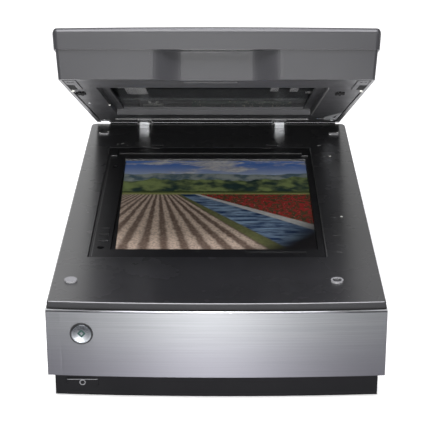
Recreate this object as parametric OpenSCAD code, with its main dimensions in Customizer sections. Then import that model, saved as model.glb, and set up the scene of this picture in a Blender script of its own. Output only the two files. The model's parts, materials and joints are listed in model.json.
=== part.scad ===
// Flatbed film scanner with a hinged transparency unit in its cover.
// Millimetres, +Z up, front towards -Y. The origin lies on the table, under the middle
// of the whole scanner as it stands with its cover open.

/* [Base] */
// Width of the base
base_w = 309; // [304:1:316]
// Depth of the base, measured at its sides
base_d = 498; // [492:1:506]
// Height of the top of the base above the table
base_h = 99; // [97:1:104]
// How far each side leans out at the front corners, and in at the rear ones
base_taper = 1.2; // [0:0.1:3]
// How far the front bulges forward in its middle
front_bow = 5; // [3:0.5:7]
// How far the middle of the base lies in front of the origin
base_ahead = 9; // [6:1:12]
// Thickness of the case walls
case_wall = 2.6; // [2:0.2:3.2]
// Thickness of the top plate round the glass
deck_t = 3; // [2.6:0.2:3.6]
// Radius of the rear corners seen from above
corner_r = 8; // [5:1:12]
// Radius of the front corners seen from above
nose_r = 3; // [2:0.5:5]
// How far the band round the top stands back from the sides and the front
band_in = 1.3; // [0:0.1:2]
// Radius of the rounded edge round the top
deck_edge = 1.6; // [0.8:0.2:2.4]
// Height of the seam between the lower and the upper case
seam_z = 24.3; // [22:0.5:28]
// How far the plinth stands back at the sides
plinth_side = 5.9; // [4:0.1:7]
// How far the plinth stands back at the front
plinth_front = 6; // [5:0.5:8]
// Height of the rubber feet
foot_h = 1.4; // [1:0.2:4]
// Radius of the rubber feet
foot_r = 9; // [7:0.5:11]

/* [Front panel and buttons] */
// Thickness of the front panel
panel_t = 3; // [2.4:0.2:3.6]
// Height of the dark edge band above the panel
band_h = 7.8; // [6:0.4:10]
// Radius of the start button
start_r = 9.4; // [8:0.2:11]
// Width of the ring round the start button
bezel_w = 1.3; // [1:0.1:2]
// Distance of the start button from the left side
start_in = 31.2; // [26:0.2:36]
// Distance of the start button below the top of the base
start_down = 31.2; // [26:0.2:40]
// Travel of the start button
start_travel = 1.2; // [0.8:0.1:1.8]
// Width of the power button
power_w = 29; // [24:1:34]
// Height of the power button
power_h = 6.4; // [5:0.2:8]
// Travel of the power button
power_travel = 1; // [0.6:0.1:1.4]

/* [Document table] */
// Width of the window in the top plate
window_w = 230; // [226:1:236]
// Length of the window in the top plate
window_l = 310; // [292:1:316]
// Distance of the window from the front corners
window_front = 101; // [96:1:108]
// How far the middle of the window lies left of the middle
window_left = 9.5; // [8:0.5:11]
// Thickness of the document glass
glass_t = 3; // [2.4:0.2:3.6]
// How far the glass reaches under the top plate
glass_lap = 6; // [5:0.5:14]
// Thickness of the seal between the glass and the top plate
seal_t = 0.5; // [0.4:0.1:0.8]
// Width of the film or print
film_w = 203; // [198:1:206]
// Length of the film or print
film_l = 254; // [248:1:258]
// Thickness of the film or print
film_t = 0.3; // [0.2:0.1:0.6]
// Thickness of the film guide
guide_t = 2.7; // [2.2:0.1:3]
// Width of the right bar of the film guide
guide_right = 6.5; // [5.5:0.5:9]
// Width of the front bar of the film guide
guide_front = 20; // [16:1:22]

/* [Scan carriage] */
// Length of the carriage along its travel
car_l = 90; // [80:2:100]
// Height of the carriage
car_h = 52; // [44:2:54]
// Height of the carriage floor above the table
car_z = 30; // [29:0.5:33]
// Travel of the carriage
scan_travel = 310; // [290:2:316]
// Gap between the carriage at home and the rear of the base
car_rear = 29; // [26:1:34]
// Distance of the belt drive from the front corners of the base
drive_in = 38; // [34:1:44]
// Radius of the guide rod
rod_r = 4; // [3:0.5:5]
// Radial running clearance of shafts in their bores
run_fit = 0.06; // [0.04:0.01:0.08]
// Radius of the belt pulleys
pulley_r = 7; // [6:0.5:8]
// Thickness of the belt
belt_t = 1.2; // [1:0.1:1.4]
// Width of the belt
belt_w = 5; // [4:0.5:6]
// Free gap between the belt and what runs beside it
belt_gap = 0.3; // [0.25:0.05:0.4]

/* [Gears] */
// Gear module
gear_m = 0.8; // [0.7:0.05:0.9]
// Teeth of the belt drive gears
gear_teeth = 40; // [36:4:44]
// Teeth of the motor pinions
pinion_teeth = 10; // [9:1:11]
// Thickness of the gears
gear_t = 3; // [2.4:0.2:3.6]

/* [Hinge] */
// Distance of the hinge axis from the rear of the base
hinge_in = 3; // [2.5:0.25:3.5]
// Height of the hinge axis above the top of the base
hinge_rise = 5.5; // [5.25:0.25:6]
// Places of the two hinge posts across the base
post_left = -88; // [-92:1:-84]
post_right = 73; // [69:1:77]
// Width of a hinge post
post_w = 11; // [9:0.5:12]
// Depth of a hinge post
post_d = 9; // [8:0.5:10]
// Length of a hinge post that stays in its socket when it is lifted
post_hold = 30; // [24:1:34]
// Radius of the hinge pins
pin_r = 2; // [1.5:0.25:2.25]
// How far the posts lift in their sockets
post_lift = 20; // [12:1:24]

/* [Cover] */
// Opening angle of the cover at rest
lid_open = 23.7; // [0:0.1:60]
// Width of the cover across its upper band
lid_w = 296.8; // [288:0.2:300]
// Width of the cover at the front of its rim
rim_w = 285.6; // [282:0.2:288]
// How much wider each side of the rim is at the hinge than at the front
rim_taper = 2.2; // [0:0.1:3]
// Thickness of the cover from its rim to the middle of its top
lid_h = 47.6; // [44:0.2:52]
// Gap between the rim of the closed cover and the base
closed_gap = 2; // [1.6:0.1:2.4]
// Distance of the closed cover's front from the front corners of the base
lid_front_gap = 28; // [24:1:34]
// How far the cover reaches behind its hinge axis
lid_rear = 7; // [6.5:0.25:7.5]
// Height of the upper band with its rounded edge
lid_band_h = 20.6; // [16:0.2:24]
// Height of the rounded top edge
lid_edge = 5.2; // [3:0.2:6]
// How far the rounded top edge leans in
lid_edge_in = 3.4; // [2:0.2:5]
// How far the sides of the band flare out towards the top
band_flare = 1.2; // [0:0.1:2]
// Rise of the crowned top in its middle
lid_crown = 1; // [0.6:0.2:2]
// Step between the band and the skirt
lid_step = 1.6; // [1:0.2:2.4]
// Thickness of the cover's walls
lid_wall = 2.6; // [2.2:0.2:3]
// Width of the finger grip with its flanks
grip_w = 120; // [100:2:140]
// Depth of the finger grip
grip_depth = 8; // [5:0.5:10]

/* [Transparency unit] */
// Depth of the recess for the document mat
mat_depth = 6; // [5:0.5:7]
// Width of the recess for the document mat
mat_w = 220; // [214:1:224]
// Length of the recess for the document mat
mat_l = 291; // [286:1:296]
// Distance of the recess from the hinge axis
mat_rear = 94; // [90:1:98]
// Width of the ledge that carries the window
ledge_w = 8; // [6:0.5:10]
// Thickness of the lamp window
lamp_window_t = 2.2; // [1.8:0.2:2.6]
// Length of the lamp carriage along its travel
lamp_l = 40; // [34:2:44]
// Height of the lamp carriage
lamp_h = 12; // [10:1:13]
// Distance of the lamp carriage from the hinge axis at rest
lamp_s = 150; // [146:1:154]
// Travel of the lamp carriage back towards the hinge
lamp_back = 38; // [30:1:38]
// Travel of the lamp carriage towards the front
lamp_ahead = 222; // [210:1:222]
// Radius of the lamp carriage's rod
lamp_rod_r = 3; // [2.5:0.25:3.5]
// Radius of the lamp belt pulleys
lamp_pulley_r = 6; // [5:0.25:6.5]
// Thickness of the lamp belt
lamp_belt_t = 1; // [0.8:0.1:1.2]
// Width of the lamp belt
lamp_belt_w = 3; // [2.6:0.2:3.4]

/* [Hidden] */

$fn = 64;
eps = 0.01;
// flat seats touch; curved or loose ones keep this gap
seat = 0.2;
// gap between pieces that slide past each other
slip = 0.3;
over = 1;

dark = "#2b2c2e";
black = "#1b1b1d";
silver = "#b9bbbe";
steel = "#c9cbce";
board_green = "#2f6a45";

// base
front_y = -base_d / 2 - base_ahead;
rear_y = base_d / 2 - base_ahead;
half_w = base_w / 2;
nose_y = front_y - front_bow;
bow_r = (half_w * half_w + front_bow * front_bow) / (2 * front_bow);
bow_y = nose_y + bow_r;
deck_z = base_h - deck_t;
panel_z0 = seam_z;
panel_z1 = base_h - band_h;
floor_z = foot_h + case_wall;
lip_h = 5;
inner_rear = rear_y - case_wall;
function front_at(x) = bow_y - sqrt(bow_r * bow_r - x * x);
function side_at(y) = half_w - base_taper * (y + base_ahead) / (base_d / 2);

// document table
win_x = -window_left;
win_x0 = win_x - window_w / 2;
win_x1 = win_x + window_w / 2;
win_y0 = front_y + window_front;
win_y1 = win_y0 + window_l;
glass_z1 = deck_z - seal_t;
glass_z0 = glass_z1 - glass_t;
guide_x0 = win_x0 + slip;
guide_x1 = win_x1 - slip;
guide_y0 = win_y0 + slip;
guide_y1 = win_y1 - slip;
film_x1 = guide_x1 - guide_right;
film_x0 = film_x1 - film_w;
guide_left = film_x0 - guide_x0;
film_y0 = guide_y0 + guide_front;
film_y1 = film_y0 + film_l;

// scan carriage and its drive
car_x0 = win_x0 - 4;
car_x1 = win_x1 + 4;
car_z1 = car_z + car_h;
car_y = rear_y - car_rear - car_l / 2;
car_wall = 2;
rod_x = car_x0 + 10;
rod_z = car_z - 10;
rail_x = car_x1 - 12;
rail_w = 8;
rail_t = 2;
rail_z1 = car_z - 6;
pitch_r = pulley_r + belt_gap + belt_t / 2;
belt_x = rod_x + 36;
belt_z = floor_z + 11.5;
idler_in = 35;
drive_y = front_y + drive_in;
idler_y = rear_y - idler_in;
axle_r = 2;
clip_x = belt_x + pitch_r;
gear_r = gear_m * gear_teeth / 2;
pinion_r = gear_m * pinion_teeth / 2;
gear_z = floor_z + 3;
motor_x = belt_x + gear_r + pinion_r;
motor_r = 17.5;
motor_z = belt_z + belt_w / 2 + 5;
motor_shaft_r = 1.5;
pulley_flange = 0.8;
pulley_h = belt_w + 2 * (belt_gap + pulley_flange);
pulley_z = belt_z - belt_gap - pulley_flange;

// hinge
hinge_y = rear_y - hinge_in;
hinge_z = base_h + hinge_rise;
post_y1 = hinge_y - 6;
post_y0 = post_y1 - post_d;
post_z0 = base_h - post_lift - post_hold;
knuckle_r = 4.5;
socket_wall = 2.4;
posts = [post_left, post_right];

// cover, in its own frame: origin on the hinge axis, front towards -Y, closed when level
rim_z = closed_gap - hinge_rise;
lid_top = rim_z + lid_h;
lid_front = hinge_y - front_y - lid_front_gap;
lid_step_z = lid_top - lid_band_h;
rim_inset = (lid_w - rim_w) / 2;
lid_corner = 4.4;
rim_front = 2.1;
// rear lip of the cover, and the radius of its lower edge about the hinge axis
lip_y0 = 2;
lip_y1 = 2.6;
lip_r = norm([lip_y1, rim_z]);
lid_ceiling = lid_top - lid_crown - lid_wall;
inner_z0 = rim_z + 1;
plate_t = 2.5;
plate_z1 = inner_z0 + plate_t;
tray_z = rim_z + mat_depth + 1;
ledge_t = 2;
// distance of the recess from the right side of the rim
mat_in = 37.8;
mat_x1 = rim_w / 2 - mat_in;
mat_x0 = mat_x1 - mat_w;
mat_s1 = mat_rear + mat_l;
lamp_glass_z = tray_z + ledge_t;
lamp_z = lamp_glass_z + lamp_window_t + 1.8;
lamp_z1 = lamp_z + lamp_h;
lamp_rod_in = 16.8;
lamp_rail_in = 18.8;
lamp_rod_x = rim_w / 2 - lamp_rod_in;
lamp_rod_z = lamp_z + lamp_h / 2;
lamp_rail_x = -rim_w / 2 + lamp_rail_in;
lamp_x0 = lamp_rail_x - 3;
lamp_x1 = lamp_rod_x - lamp_rod_r - 5;
lamp_pitch_r = lamp_pulley_r + belt_gap + lamp_belt_t / 2;
lamp_belt_x = lamp_rod_x - 19;
lamp_belt_z = lamp_z1 + 1.4 + belt_gap + pulley_flange;
lamp_s0 = lamp_s - lamp_back - lamp_l / 2;
lamp_s1 = lamp_s + lamp_ahead + lamp_l / 2;
lamp_drive_s = lamp_s0 - 22;
lamp_idler_s = lamp_s1 + 5;
lamp_axle_r = 1.5;
lamp_gear_z = lamp_belt_z + lamp_belt_w + belt_gap + pulley_flange;
lamp_clip_x = lamp_belt_x + lamp_pitch_r;
lamp_motor_x = lamp_belt_x - gear_r - pinion_r;
lamp_motor_r = 11;
lamp_motor_z = lamp_gear_z + gear_t + 0.5;
lamp_shaft_r = 1;

// ---------------------------------------------------------------- shared shapes

// Rectangle with round corners between two corner points
module round_rect(x0, y0, x1, y1, r) {
    translate([x0 + r, y0]) square([x1 - x0 - 2 * r, y1 - y0]);
    translate([x0, y0 + r]) square([x1 - x0, y1 - y0 - 2 * r]);
    for (x = [x0 + r, x1 - r], y = [y0 + r, y1 - r]) translate([x, y]) circle(r);
}

// Points of a quarter or other arc
function arc_points(c, r, a0, a1, n) =
    [for (i = [0:n]) c + r * [cos(a0 + (a1 - a0) * i / n), sin(a0 + (a1 - a0) * i / n)]];

// Convex solid round a list of points
module wrap(points) {
    hull() polyhedron(points, [for (i = [0:len(points) - 3]) [i, i + 1, i + 2]]);
}

// Plain box between two corner points
module block(a, b) {
    translate(a) cube(b - a);
}

// Frame between two rectangles
module frame_block(x0, y0, x1, y1, hole_x0, hole_y0, hole_x1, hole_y1, z0, z1) {
    difference() {
        block([x0, y0, z0], [x1, y1, z1]);
        block([hole_x0, hole_y0, z0 - over], [hole_x1, hole_y1, z1 + over]);
    }
}

// Plan of the base: leaning sides, rear and bowed front, each moved inwards by its own inset
module base_plan(side, front, rear, r) {
    front_x = side_at(nose_y - over) - side;
    rear_x = side_at(rear_y) - side - r;
    intersection() {
        polygon(concat(
            [[-front_x, nose_y - over], [front_x, nose_y - over]],
            arc_points([rear_x, rear_y - rear - r], r, 0, 90, 6),
            arc_points([-rear_x, rear_y - rear - r], r, 90, 180, 6)
        ));
        translate([0, bow_y]) circle(bow_r - front, $fn = 720);
    }
}

// Points of the same plan with round front corners too, at one height
nose_corner = [half_w - nose_r, bow_y - sqrt(pow(bow_r - nose_r, 2) - pow(half_w - nose_r, 2))];
nose_angle = atan2(nose_corner[0], bow_y - nose_corner[1]);
function base_ring(inset, z) = [
    for (p = concat(
        arc_points([-nose_corner[0], nose_corner[1]], max(nose_r - inset, 0.2), 180, 270 - nose_angle, 3),
        [for (i = [1:23]) [0, bow_y] + (bow_r - inset)
            * [sin(nose_angle * (i - 12) / 12), -cos(nose_angle * (i - 12) / 12)]],
        arc_points(nose_corner, max(nose_r - inset, 0.2), 270 + nose_angle, 360, 3),
        arc_points([half_w - corner_r, rear_y - corner_r], corner_r - inset, 0, 90, 5),
        arc_points([corner_r - half_w, rear_y - corner_r], corner_r - inset, 90, 180, 5)
    )) [p[0] * side_at(p[1]) / half_w, p[1], z]
];

// Cylinder that bounds the bowed front
module bow_cylinder(inset, z0, z1) {
    translate([0, bow_y, z0]) cylinder(h = z1 - z0, r = bow_r - inset, $fn = 720);
}

// Tube along Z
module tube(r_out, r_in, h) {
    difference() {
        cylinder(h = h, r = r_out);
        translate([0, 0, -over]) cylinder(h = h + 2 * over, r = r_in);
    }
}

// One point of an involute that leaves a base circle of radius rb at angle a
function involute(rb, a) =
    let (roll = a * PI / 180)
    rb * [cos(a) + roll * sin(a), sin(a) - roll * cos(a)];

function turned(p, a) = [p[0] * cos(a) - p[1] * sin(a), p[0] * sin(a) + p[1] * cos(a)];

// Outline of one tooth, from root to root, centred on angle c
function tooth(rp, teeth, c) =
    let (
        pressure = 25,
        rb = rp * cos(pressure),
        tip_r = rp + 0.85 * gear_m,
        root_r = rp - 1.15 * gear_m,
        play = 0.12 * 180 / (PI * rp),
        half = 90 / teeth - play + (tan(pressure) * 180 / PI - pressure),
        roll_end = sqrt(tip_r * tip_r / (rb * rb) - 1) * 180 / PI,
        steps = 3,
        flank = [for (i = [0:steps]) turned(involute(rb, roll_end * i / steps), -half)]
    )
    [
        root_r * [cos(c - half), sin(c - half)],
        for (p = flank) turned(p, c),
        for (i = [steps:-1:0]) turned([flank[i][0], -flank[i][1]], c),
        root_r * [cos(c + half), sin(c + half)]
    ];

// Spur gear with involute teeth; phase turns it by a share of one tooth
module spur_gear(teeth, h, bore, phase = 0) {
    rp = gear_m * teeth / 2;
    points = [for (i = [0:teeth - 1]) each tooth(rp, teeth, 360 * (i + phase) / teeth)];
    difference() {
        linear_extrude(h) polygon(points);
        translate([0, 0, -over]) cylinder(h = h + 2 * over, r = bore);
    }
}

// Belt loop round two pulleys that lie along Y
module belt_loop(x, y0, y1, r_in, t, z, w) {
    difference() {
        union() {
            for (y = [y0, y1]) translate([x, y, z]) cylinder(h = w, r = r_in + t);
            block([x - r_in - t, y0, z], [x + r_in + t, y1, z + w]);
        }
        for (y = [y0, y1]) translate([x, y, z - over]) cylinder(h = w + 2 * over, r = r_in);
        block([x - r_in, y0, z - over], [x + r_in, y1, z + w + over]);
    }
}

// Flanged belt pulley on the Z axis, its lower flange standing on z = 0
module pulley(r, w, flange_r, bore) {
    difference() {
        union() {
            cylinder(h = pulley_flange, r = flange_r);
            cylinder(h = w + 2 * (belt_gap + pulley_flange), r = r);
            translate([0, 0, w + 2 * belt_gap + pulley_flange])
                cylinder(h = pulley_flange, r = flange_r);
        }
        translate([0, 0, -over])
            cylinder(h = w + 2 * (belt_gap + pulley_flange) + 2 * over, r = bore);
    }
}

// Pan-head screw pointing down, its head's underside on z = 0
module pan_screw(r, len) {
    difference() {
        union() {
            cylinder(h = 1.6, r1 = 2 * r, r2 = 1.5 * r);
            translate([0, 0, -len]) cylinder(h = len, r = r);
        }
        for (a = [0, 90])
            rotate([0, 0, a]) translate([-1.1 * r, -0.25 * r, 0.7]) cube([2.2 * r, 0.5 * r, 2]);
    }
}

// ---------------------------------------------------------------- base: cases

notch_xs = [-70, 62];
notch_w = 13;
ridge_left = 25;
ridge_right = 14;
ridge_d = 4;
ridge_gap = 0.28;
panel_bevel = 2;
side_bevel = 0.6;

foot_in = 28;
foot_xs = [-half_w + foot_in, half_w - foot_in];
foot_ys = [front_y + foot_in, rear_y - foot_in];
// screws that join the cases, in wells of the lower case
screw_xs = [-half_w + 17, half_w - 17];
screw_ys = [front_y + 46, rear_y - 15];
screw_r = 1.6;
well_r = 6;
well_z = 20;
well_floor = 3;

module lower_case() {
    color(black) difference() {
        union() {
            // plinth
            translate([0, 0, foot_h]) linear_extrude(seam_z - foot_h)
                base_plan(plinth_side, plinth_front, plinth_side, corner_r - 2);
            // lip that the upper case slides over
            translate([0, 0, seam_z - eps]) linear_extrude(lip_h)
                base_plan(plinth_side + seat, plinth_front + seat, plinth_side + seat, corner_r - 3);
        }
        difference() {
            translate([0, 0, floor_z]) linear_extrude(seam_z + lip_h)
                base_plan(
                    plinth_side + case_wall, plinth_front + case_wall, plinth_side + case_wall,
                    corner_r - 4
                );
            for (x = screw_xs, y = screw_ys) translate([x, y, 0]) cylinder(h = well_z, r = well_r);
        }
        for (x = screw_xs, y = screw_ys) translate([x, y, 0]) {
            cylinder(h = well_z - well_floor, r = well_r - 2);
            cylinder(h = well_z + over, r = screw_r + 0.2);
        }
        // pocket for the power button
        power_place()
            block(
                [-power_w / 2 - slip, -over, -power_h / 2 - slip],
                [power_w / 2 + slip, case_wall + 2 * over, power_h / 2 + slip]
            );
        for (x = foot_xs, y = foot_ys)
            translate([x, y, foot_h - over]) cylinder(h = over + 0.4, r = foot_r);
    }
}

module upper_case() {
    color(dark) difference() {
        union() {
            // walls, chamfered towards the band
            wrap([
                each base_ring(0, seam_z), each base_ring(0, panel_z1 - side_bevel),
                each base_ring(band_in, panel_z1)
            ]);
            // band with its rounded top edge
            wrap([
                each base_ring(band_in, panel_z1 - eps),
                for (i = [0:4])
                    each base_ring(
                        band_in + deck_edge * (1 - cos(22.5 * i)), base_h - deck_edge * (1 - sin(22.5 * i))
                    )
            ]);
            // low ridge along the rear edge, with gaps for the hinges
            difference() {
                block(
                    [-half_w + ridge_left, hinge_y - ridge_d, base_h - deck_edge / 2],
                    [half_w - ridge_right, hinge_y + 1, hinge_z - lip_r - ridge_gap]
                );
                for (x = posts)
                    block(
                        [x - hinge_cut - slip, post_y0, base_h], [x + hinge_cut + slip, rear_y, hinge_z]
                    );
            }
        }
        // inside
        difference() {
            translate([0, 0, seam_z - over]) linear_extrude(deck_z - seam_z + over)
                base_plan(case_wall, panel_t + seat + case_wall, case_wall, corner_r - case_wall);
            for (x = screw_xs, y = screw_ys) translate([x, y, 0]) cylinder(h = base_h, r = well_r - 1);
        }
        // seat of the front panel
        difference() {
            block([-base_w, nose_y - over, seam_z - over], [base_w, front_y + 20, panel_z1]);
            bow_cylinder(panel_t + seat, seam_z - 2 * over, panel_z1 + over);
        }
        // window over the document glass, with its bevelled edge
        block([win_x0, win_y0, deck_z - over], [win_x1, win_y1, base_h + over]);
        hull() {
            block([win_x0, win_y0, base_h - 0.8], [win_x1, win_y1, base_h - 0.7]);
            block(
                [win_x0 - 0.9, win_y0 - 0.9, base_h + 0.1], [win_x1 + 0.9, win_y1 + 0.9, base_h + 0.2]
            );
        }
        // holes for the hinge posts
        for (x = posts)
            block(
                [x - post_w / 2 - slip, post_y0 - slip, deck_z - over],
                [x + post_w / 2 + slip, post_y1 + slip, base_h + over]
            );
        // finger notches behind the window
        for (x = notch_xs)
            block(
                [x - notch_w / 2, win_y1 + 1.6, base_h - 1.4], [x + notch_w / 2, win_y1 + 9, base_h + over]
            );
        start_place() rotate([90, 0, 0]) translate([0, 0, -12])
            cylinder(h = 30, r = start_r - 2.4);
        rear_openings();
        for (x = screw_xs, y = screw_ys)
            translate([x, y, seam_z - over]) cylinder(h = 12, r = screw_r + 0.05);
    }
    // posts that stand on the screw wells
    color(dark) for (x = screw_xs, y = screw_ys) translate([x, y, well_z]) difference() {
        cylinder(h = seam_z - well_z, r = well_r - 1);
        translate([0, 0, -over]) cylinder(h = 12, r = screw_r + 0.05);
    }
}

module rear_openings() {
    for (p = rear_ports)
        block(
            [p[0] - p[1] / 2 - slip, inner_rear - over, p[2] - slip],
            [p[0] + p[1] / 2 + slip, rear_y + over, p[2] + p[3] + slip]
        );
    block(
        [lock_x - lock_slot / 2, inner_rear - over, lock_z - 3 - slip],
        [lock_x + lock_slot / 2, rear_y + over, lock_z + 3 + slip]
    );
}

// Puts its child on the front panel at the start button, its own y = 0 on the panel's face
start_x = -half_w + start_in;
start_z = base_h - start_down;
module start_place() {
    translate([start_x, front_at(start_x), start_z]) children();
}

module front_panel() {
    panel_x = side_at(front_y);
    color(silver) difference() {
        intersection() {
            union() {
                bow_cylinder(0, panel_z0, panel_z1 - panel_bevel);
                translate([0, bow_y, panel_z1 - panel_bevel])
                    cylinder(h = panel_bevel - 0.1, r1 = bow_r, r2 = bow_r - band_in - 0.1, $fn = 720);
            }
            block([-panel_x, nose_y - over, panel_z0], [panel_x, front_y + 20, panel_z1]);
        }
        bow_cylinder(panel_t, panel_z0 - over, panel_z1 + over);
        start_place() rotate([90, 0, 0]) translate([0, 0, -12])
            cylinder(h = 24, r = start_r + bezel_w + 0.1);
    }
}

module start_bezel() {
    color(black) start_place() rotate([90, 0, 0]) difference() {
        translate([0, 0, -panel_t + 0.5]) cylinder(h = panel_t, r = start_r + bezel_w);
        translate([0, 0, -panel_t]) cylinder(h = panel_t + 2, r = start_r + slip);
    }
}

module start_button() {
    stem_r = start_r - 3;
    color(silver) start_place() rotate([90, 0, 0]) {
        difference() {
            union() {
                translate([0, 0, -panel_t + start_travel + slip])
                    cylinder(h = panel_t - start_travel - slip + 0.3, r = start_r);
                // crowned face, part of a large sphere
                translate([0, 0, 0.3]) intersection() {
                    cylinder(h = 2, r = start_r);
                    translate([0, 0, 1.1 - 45]) sphere(r = 45, $fn = 180);
                }
                translate([0, 0, -panel_t - case_wall - 6]) cylinder(h = case_wall + 9, r = stem_r);
            }
            translate([0, 0, -panel_t - case_wall - 8]) cylinder(h = case_wall + 8, r = stem_r - 1.6);
        }
    }
}

// Power button, in the front of the plinth
power_x = -half_w + 30.1;
power_z = 15;
power_y = bow_y - sqrt(pow(bow_r - plinth_front, 2) - power_x * power_x);
module power_place() {
    translate([power_x, power_y, power_z]) children();
}

module power_button() {
    proud = power_travel - 0.1;
    color(black) power_place() difference() {
        union() {
            block([-power_w / 2, -proud, -power_h / 2], [power_w / 2, case_wall - 0.6, power_h / 2]);
            block([-power_w / 2 + 4, 0, -power_h / 2 + 1], [power_w / 2 - 4, case_wall + 4, power_h / 2 - 1]);
        }
        translate([0, 0.4 - proud, 0]) rotate([90, 0, 0]) tube(2.5, 1.8, 2);
    }
}

module feet() {
    color("#3a3a3c") for (x = foot_xs, y = foot_ys) translate([x, y, 0]) difference() {
        union() {
            cylinder(h = 0.6, r1 = foot_r - 1.6, r2 = foot_r - 1);
            translate([0, 0, 0.6]) cylinder(h = foot_h + 0.4 - 0.6, r = foot_r - 1);
        }
        translate([0, 0, -over]) cylinder(h = over + 0.5, r = foot_r / 3);
    }
}

module case_screws() {
    color(steel) for (x = screw_xs, y = screw_ys)
        translate([x, y, well_z - well_floor]) rotate([180, 0, 0]) pan_screw(screw_r, 14);
}

// ---------------------------------------------------------------- base: document table

seal_back = 2.4;

module glass_seal() {
    color(black) frame_block(
        win_x0 - glass_lap, win_y0 - glass_lap, win_x1 + glass_lap, win_y1 + glass_lap,
        win_x0 - seal_back, win_y0 - seal_back, win_x1 + seal_back, win_y1 + seal_back,
        glass_z1, deck_z
    );
}

module document_glass() {
    color("#bfd0d4", 0.4)
        block(
            [win_x0 - glass_lap, win_y0 - glass_lap, glass_z0],
            [win_x1 + glass_lap, win_y1 + glass_lap, glass_z1]
        );
}

module calibration_strip() {
    color("white")
        block([win_x0 + 2, win_y1 + 1, glass_z0 - 0.4], [win_x1 - 2, win_y1 + glass_lap - 1, glass_z0]);
}

module film_guide() {
    z1 = glass_z1 + guide_t;
    color(black) difference() {
        union() {
            frame_block(
                guide_x0, guide_y0, guide_x1, guide_y1,
                film_x0 - slip, film_y0 - slip, film_x1 + slip, film_y1 + slip, glass_z1, z1
            );
            // raised strip on the rear bar, with a catch at each end
            block([guide_x0 + 12, guide_y1 - 18, z1 - eps], [guide_x1 - 10, guide_y1 - 3, z1 + 0.7]);
            for (x = [guide_x0 + 3, guide_x1 - 10])
                block([x, guide_y1 - 27, z1 - eps], [x + 7, guide_y1 - 8, z1 + 1.5]);
            // raised catch on the left bar
            for (y = [40, 56, 72])
                translate([guide_x0 + 6, guide_y0 + y, z1 - eps]) cube([guide_left - 10, 9, 0.8]);
        }
        // shallow panel with arrow notches in the front bar
        block([guide_x1 - 78, guide_y0 + 3, z1 - 0.4], [guide_x1 - 18, guide_y0 + 14, z1 + over]);
        for (x = [72, 62, 32, 24])
            translate([guide_x1 - x, guide_y0 + 8.5, z1 - 0.8]) cylinder(h = 3, r = 1.6, $fn = 3);
        // finger holes in the left bar
        for (y = [guide_y0 + 24, guide_y1 - 60])
            translate([guide_x0 + guide_left / 2, y, glass_z1 - over]) cylinder(h = guide_t + 3, r = 3.5);
    }
}

module film_sheet() {
    color("#6d86a8") block([film_x0, film_y0, glass_z1], [film_x1, film_y1, glass_z1 + film_t]);
}

pad_r = 5.9;
pad_in = 18.4;
ring_in = 42;
pad_front = 45.4;

module lid_bumpers() {
    h = closed_gap - slip;
    color("#77787b") {
        translate([-half_w + pad_in, front_y + pad_front, base_h]) cylinder(h = h, r = pad_r);
        translate([half_w - ring_in, front_y + pad_front, base_h]) tube(pad_r, pad_r - 1.5, h);
        for (x = [-half_w + pad_in + 1, half_w - pad_in]) translate([x, rear_y - 40, base_h])
            linear_extrude(h) round_rect(-6, -2.2, 6, 2.2, 2.1);
    }
}

// ---------------------------------------------------------------- base: scan drive

module guide_rod() {
    color(steel) translate([rod_x, 0, rod_z]) rotate([90, 0, 0])
        translate([0, 0, -rod_y1]) cylinder(h = rod_y1 - rod_y0, r = rod_r);
}

rod_y0 = drive_y + 16;
rod_y1 = rear_y - 23;
clamp_l = 8;
stop_y = car_y - car_l / 2 - scan_travel - 0.5;

stop_x = 66;

module rod_clamps() {
    color("#55565a") for (y = [rod_y0 + 2, rod_y1 - 2 - clamp_l]) difference() {
        union() {
            block([rod_x - 8, y, floor_z], [rod_x + 8, y + clamp_l, rod_z]);
            translate([rod_x, y + clamp_l, rod_z]) rotate([90, 0, 0]) cylinder(h = clamp_l, r = 8);
        }
        translate([rod_x, y + clamp_l + over, rod_z]) rotate([90, 0, 0])
            cylinder(h = clamp_l + 2 * over, r = rod_r + 0.02);
    }
    // front stop of the carriage
    color("#55565a") block([stop_x - 6, stop_y - 3, floor_z], [stop_x + 6, stop_y, car_z + 10]);
}

module slide_rail() {
    color(steel) {
        for (z = [floor_z, rail_z1 - rail_t])
            block([rail_x - rail_w / 2, rod_y0, z], [rail_x + rail_w / 2, rod_y1, z + rail_t]);
        block([rail_x - rail_t / 2, rod_y0, floor_z + eps], [rail_x + rail_t / 2, rod_y1, rail_z1 - eps]);
    }
}

module belt_axles() {
    // each axle stands on the floor and has a collar under its pulley
    color(steel) for (a = [[drive_y, motor_z, gear_z], [idler_y, belt_z + pulley_h, pulley_z]])
        translate([belt_x, a[0], floor_z]) {
            cylinder(h = a[1] - floor_z, r = axle_r);
            cylinder(h = a[2] - floor_z - seat, r = 5);
        }
}

module scan_motor() {
    color("#8f9296") {
        difference() {
            union() {
                // mounting plate on three legs, and the motor on top of it
                block([belt_x - 14, drive_y - 20, motor_z], [motor_x + 22, drive_y + 18, motor_z + 1.5]);
                for (p = motor_legs) block([p[0], p[1], floor_z], [p[0] + 4, p[1] + 4, motor_z + eps]);
                translate([motor_x, drive_y, motor_z + 1.5 - eps]) cylinder(h = 18, r = motor_r);
                translate([motor_x, drive_y, motor_z + 19.5 - 2 * eps]) cylinder(h = 2, r = 5);
            }
            translate([motor_x, drive_y, motor_z - over]) cylinder(h = 12, r = motor_shaft_r + run_fit);
            translate([belt_x, drive_y, motor_z - over]) cylinder(h = 12, r = axle_r + run_fit);
        }
    }
}
motor_legs = [
    [belt_x - 13, drive_y - 19.5], [motor_x + 17.5, drive_y - 19.5], [motor_x + 17.5, drive_y + 13.5]
];

module scan_belt() {
    color("#222222")
        belt_loop(belt_x, drive_y, idler_y, pulley_r + belt_gap, belt_t, belt_z, belt_w);
}

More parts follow.
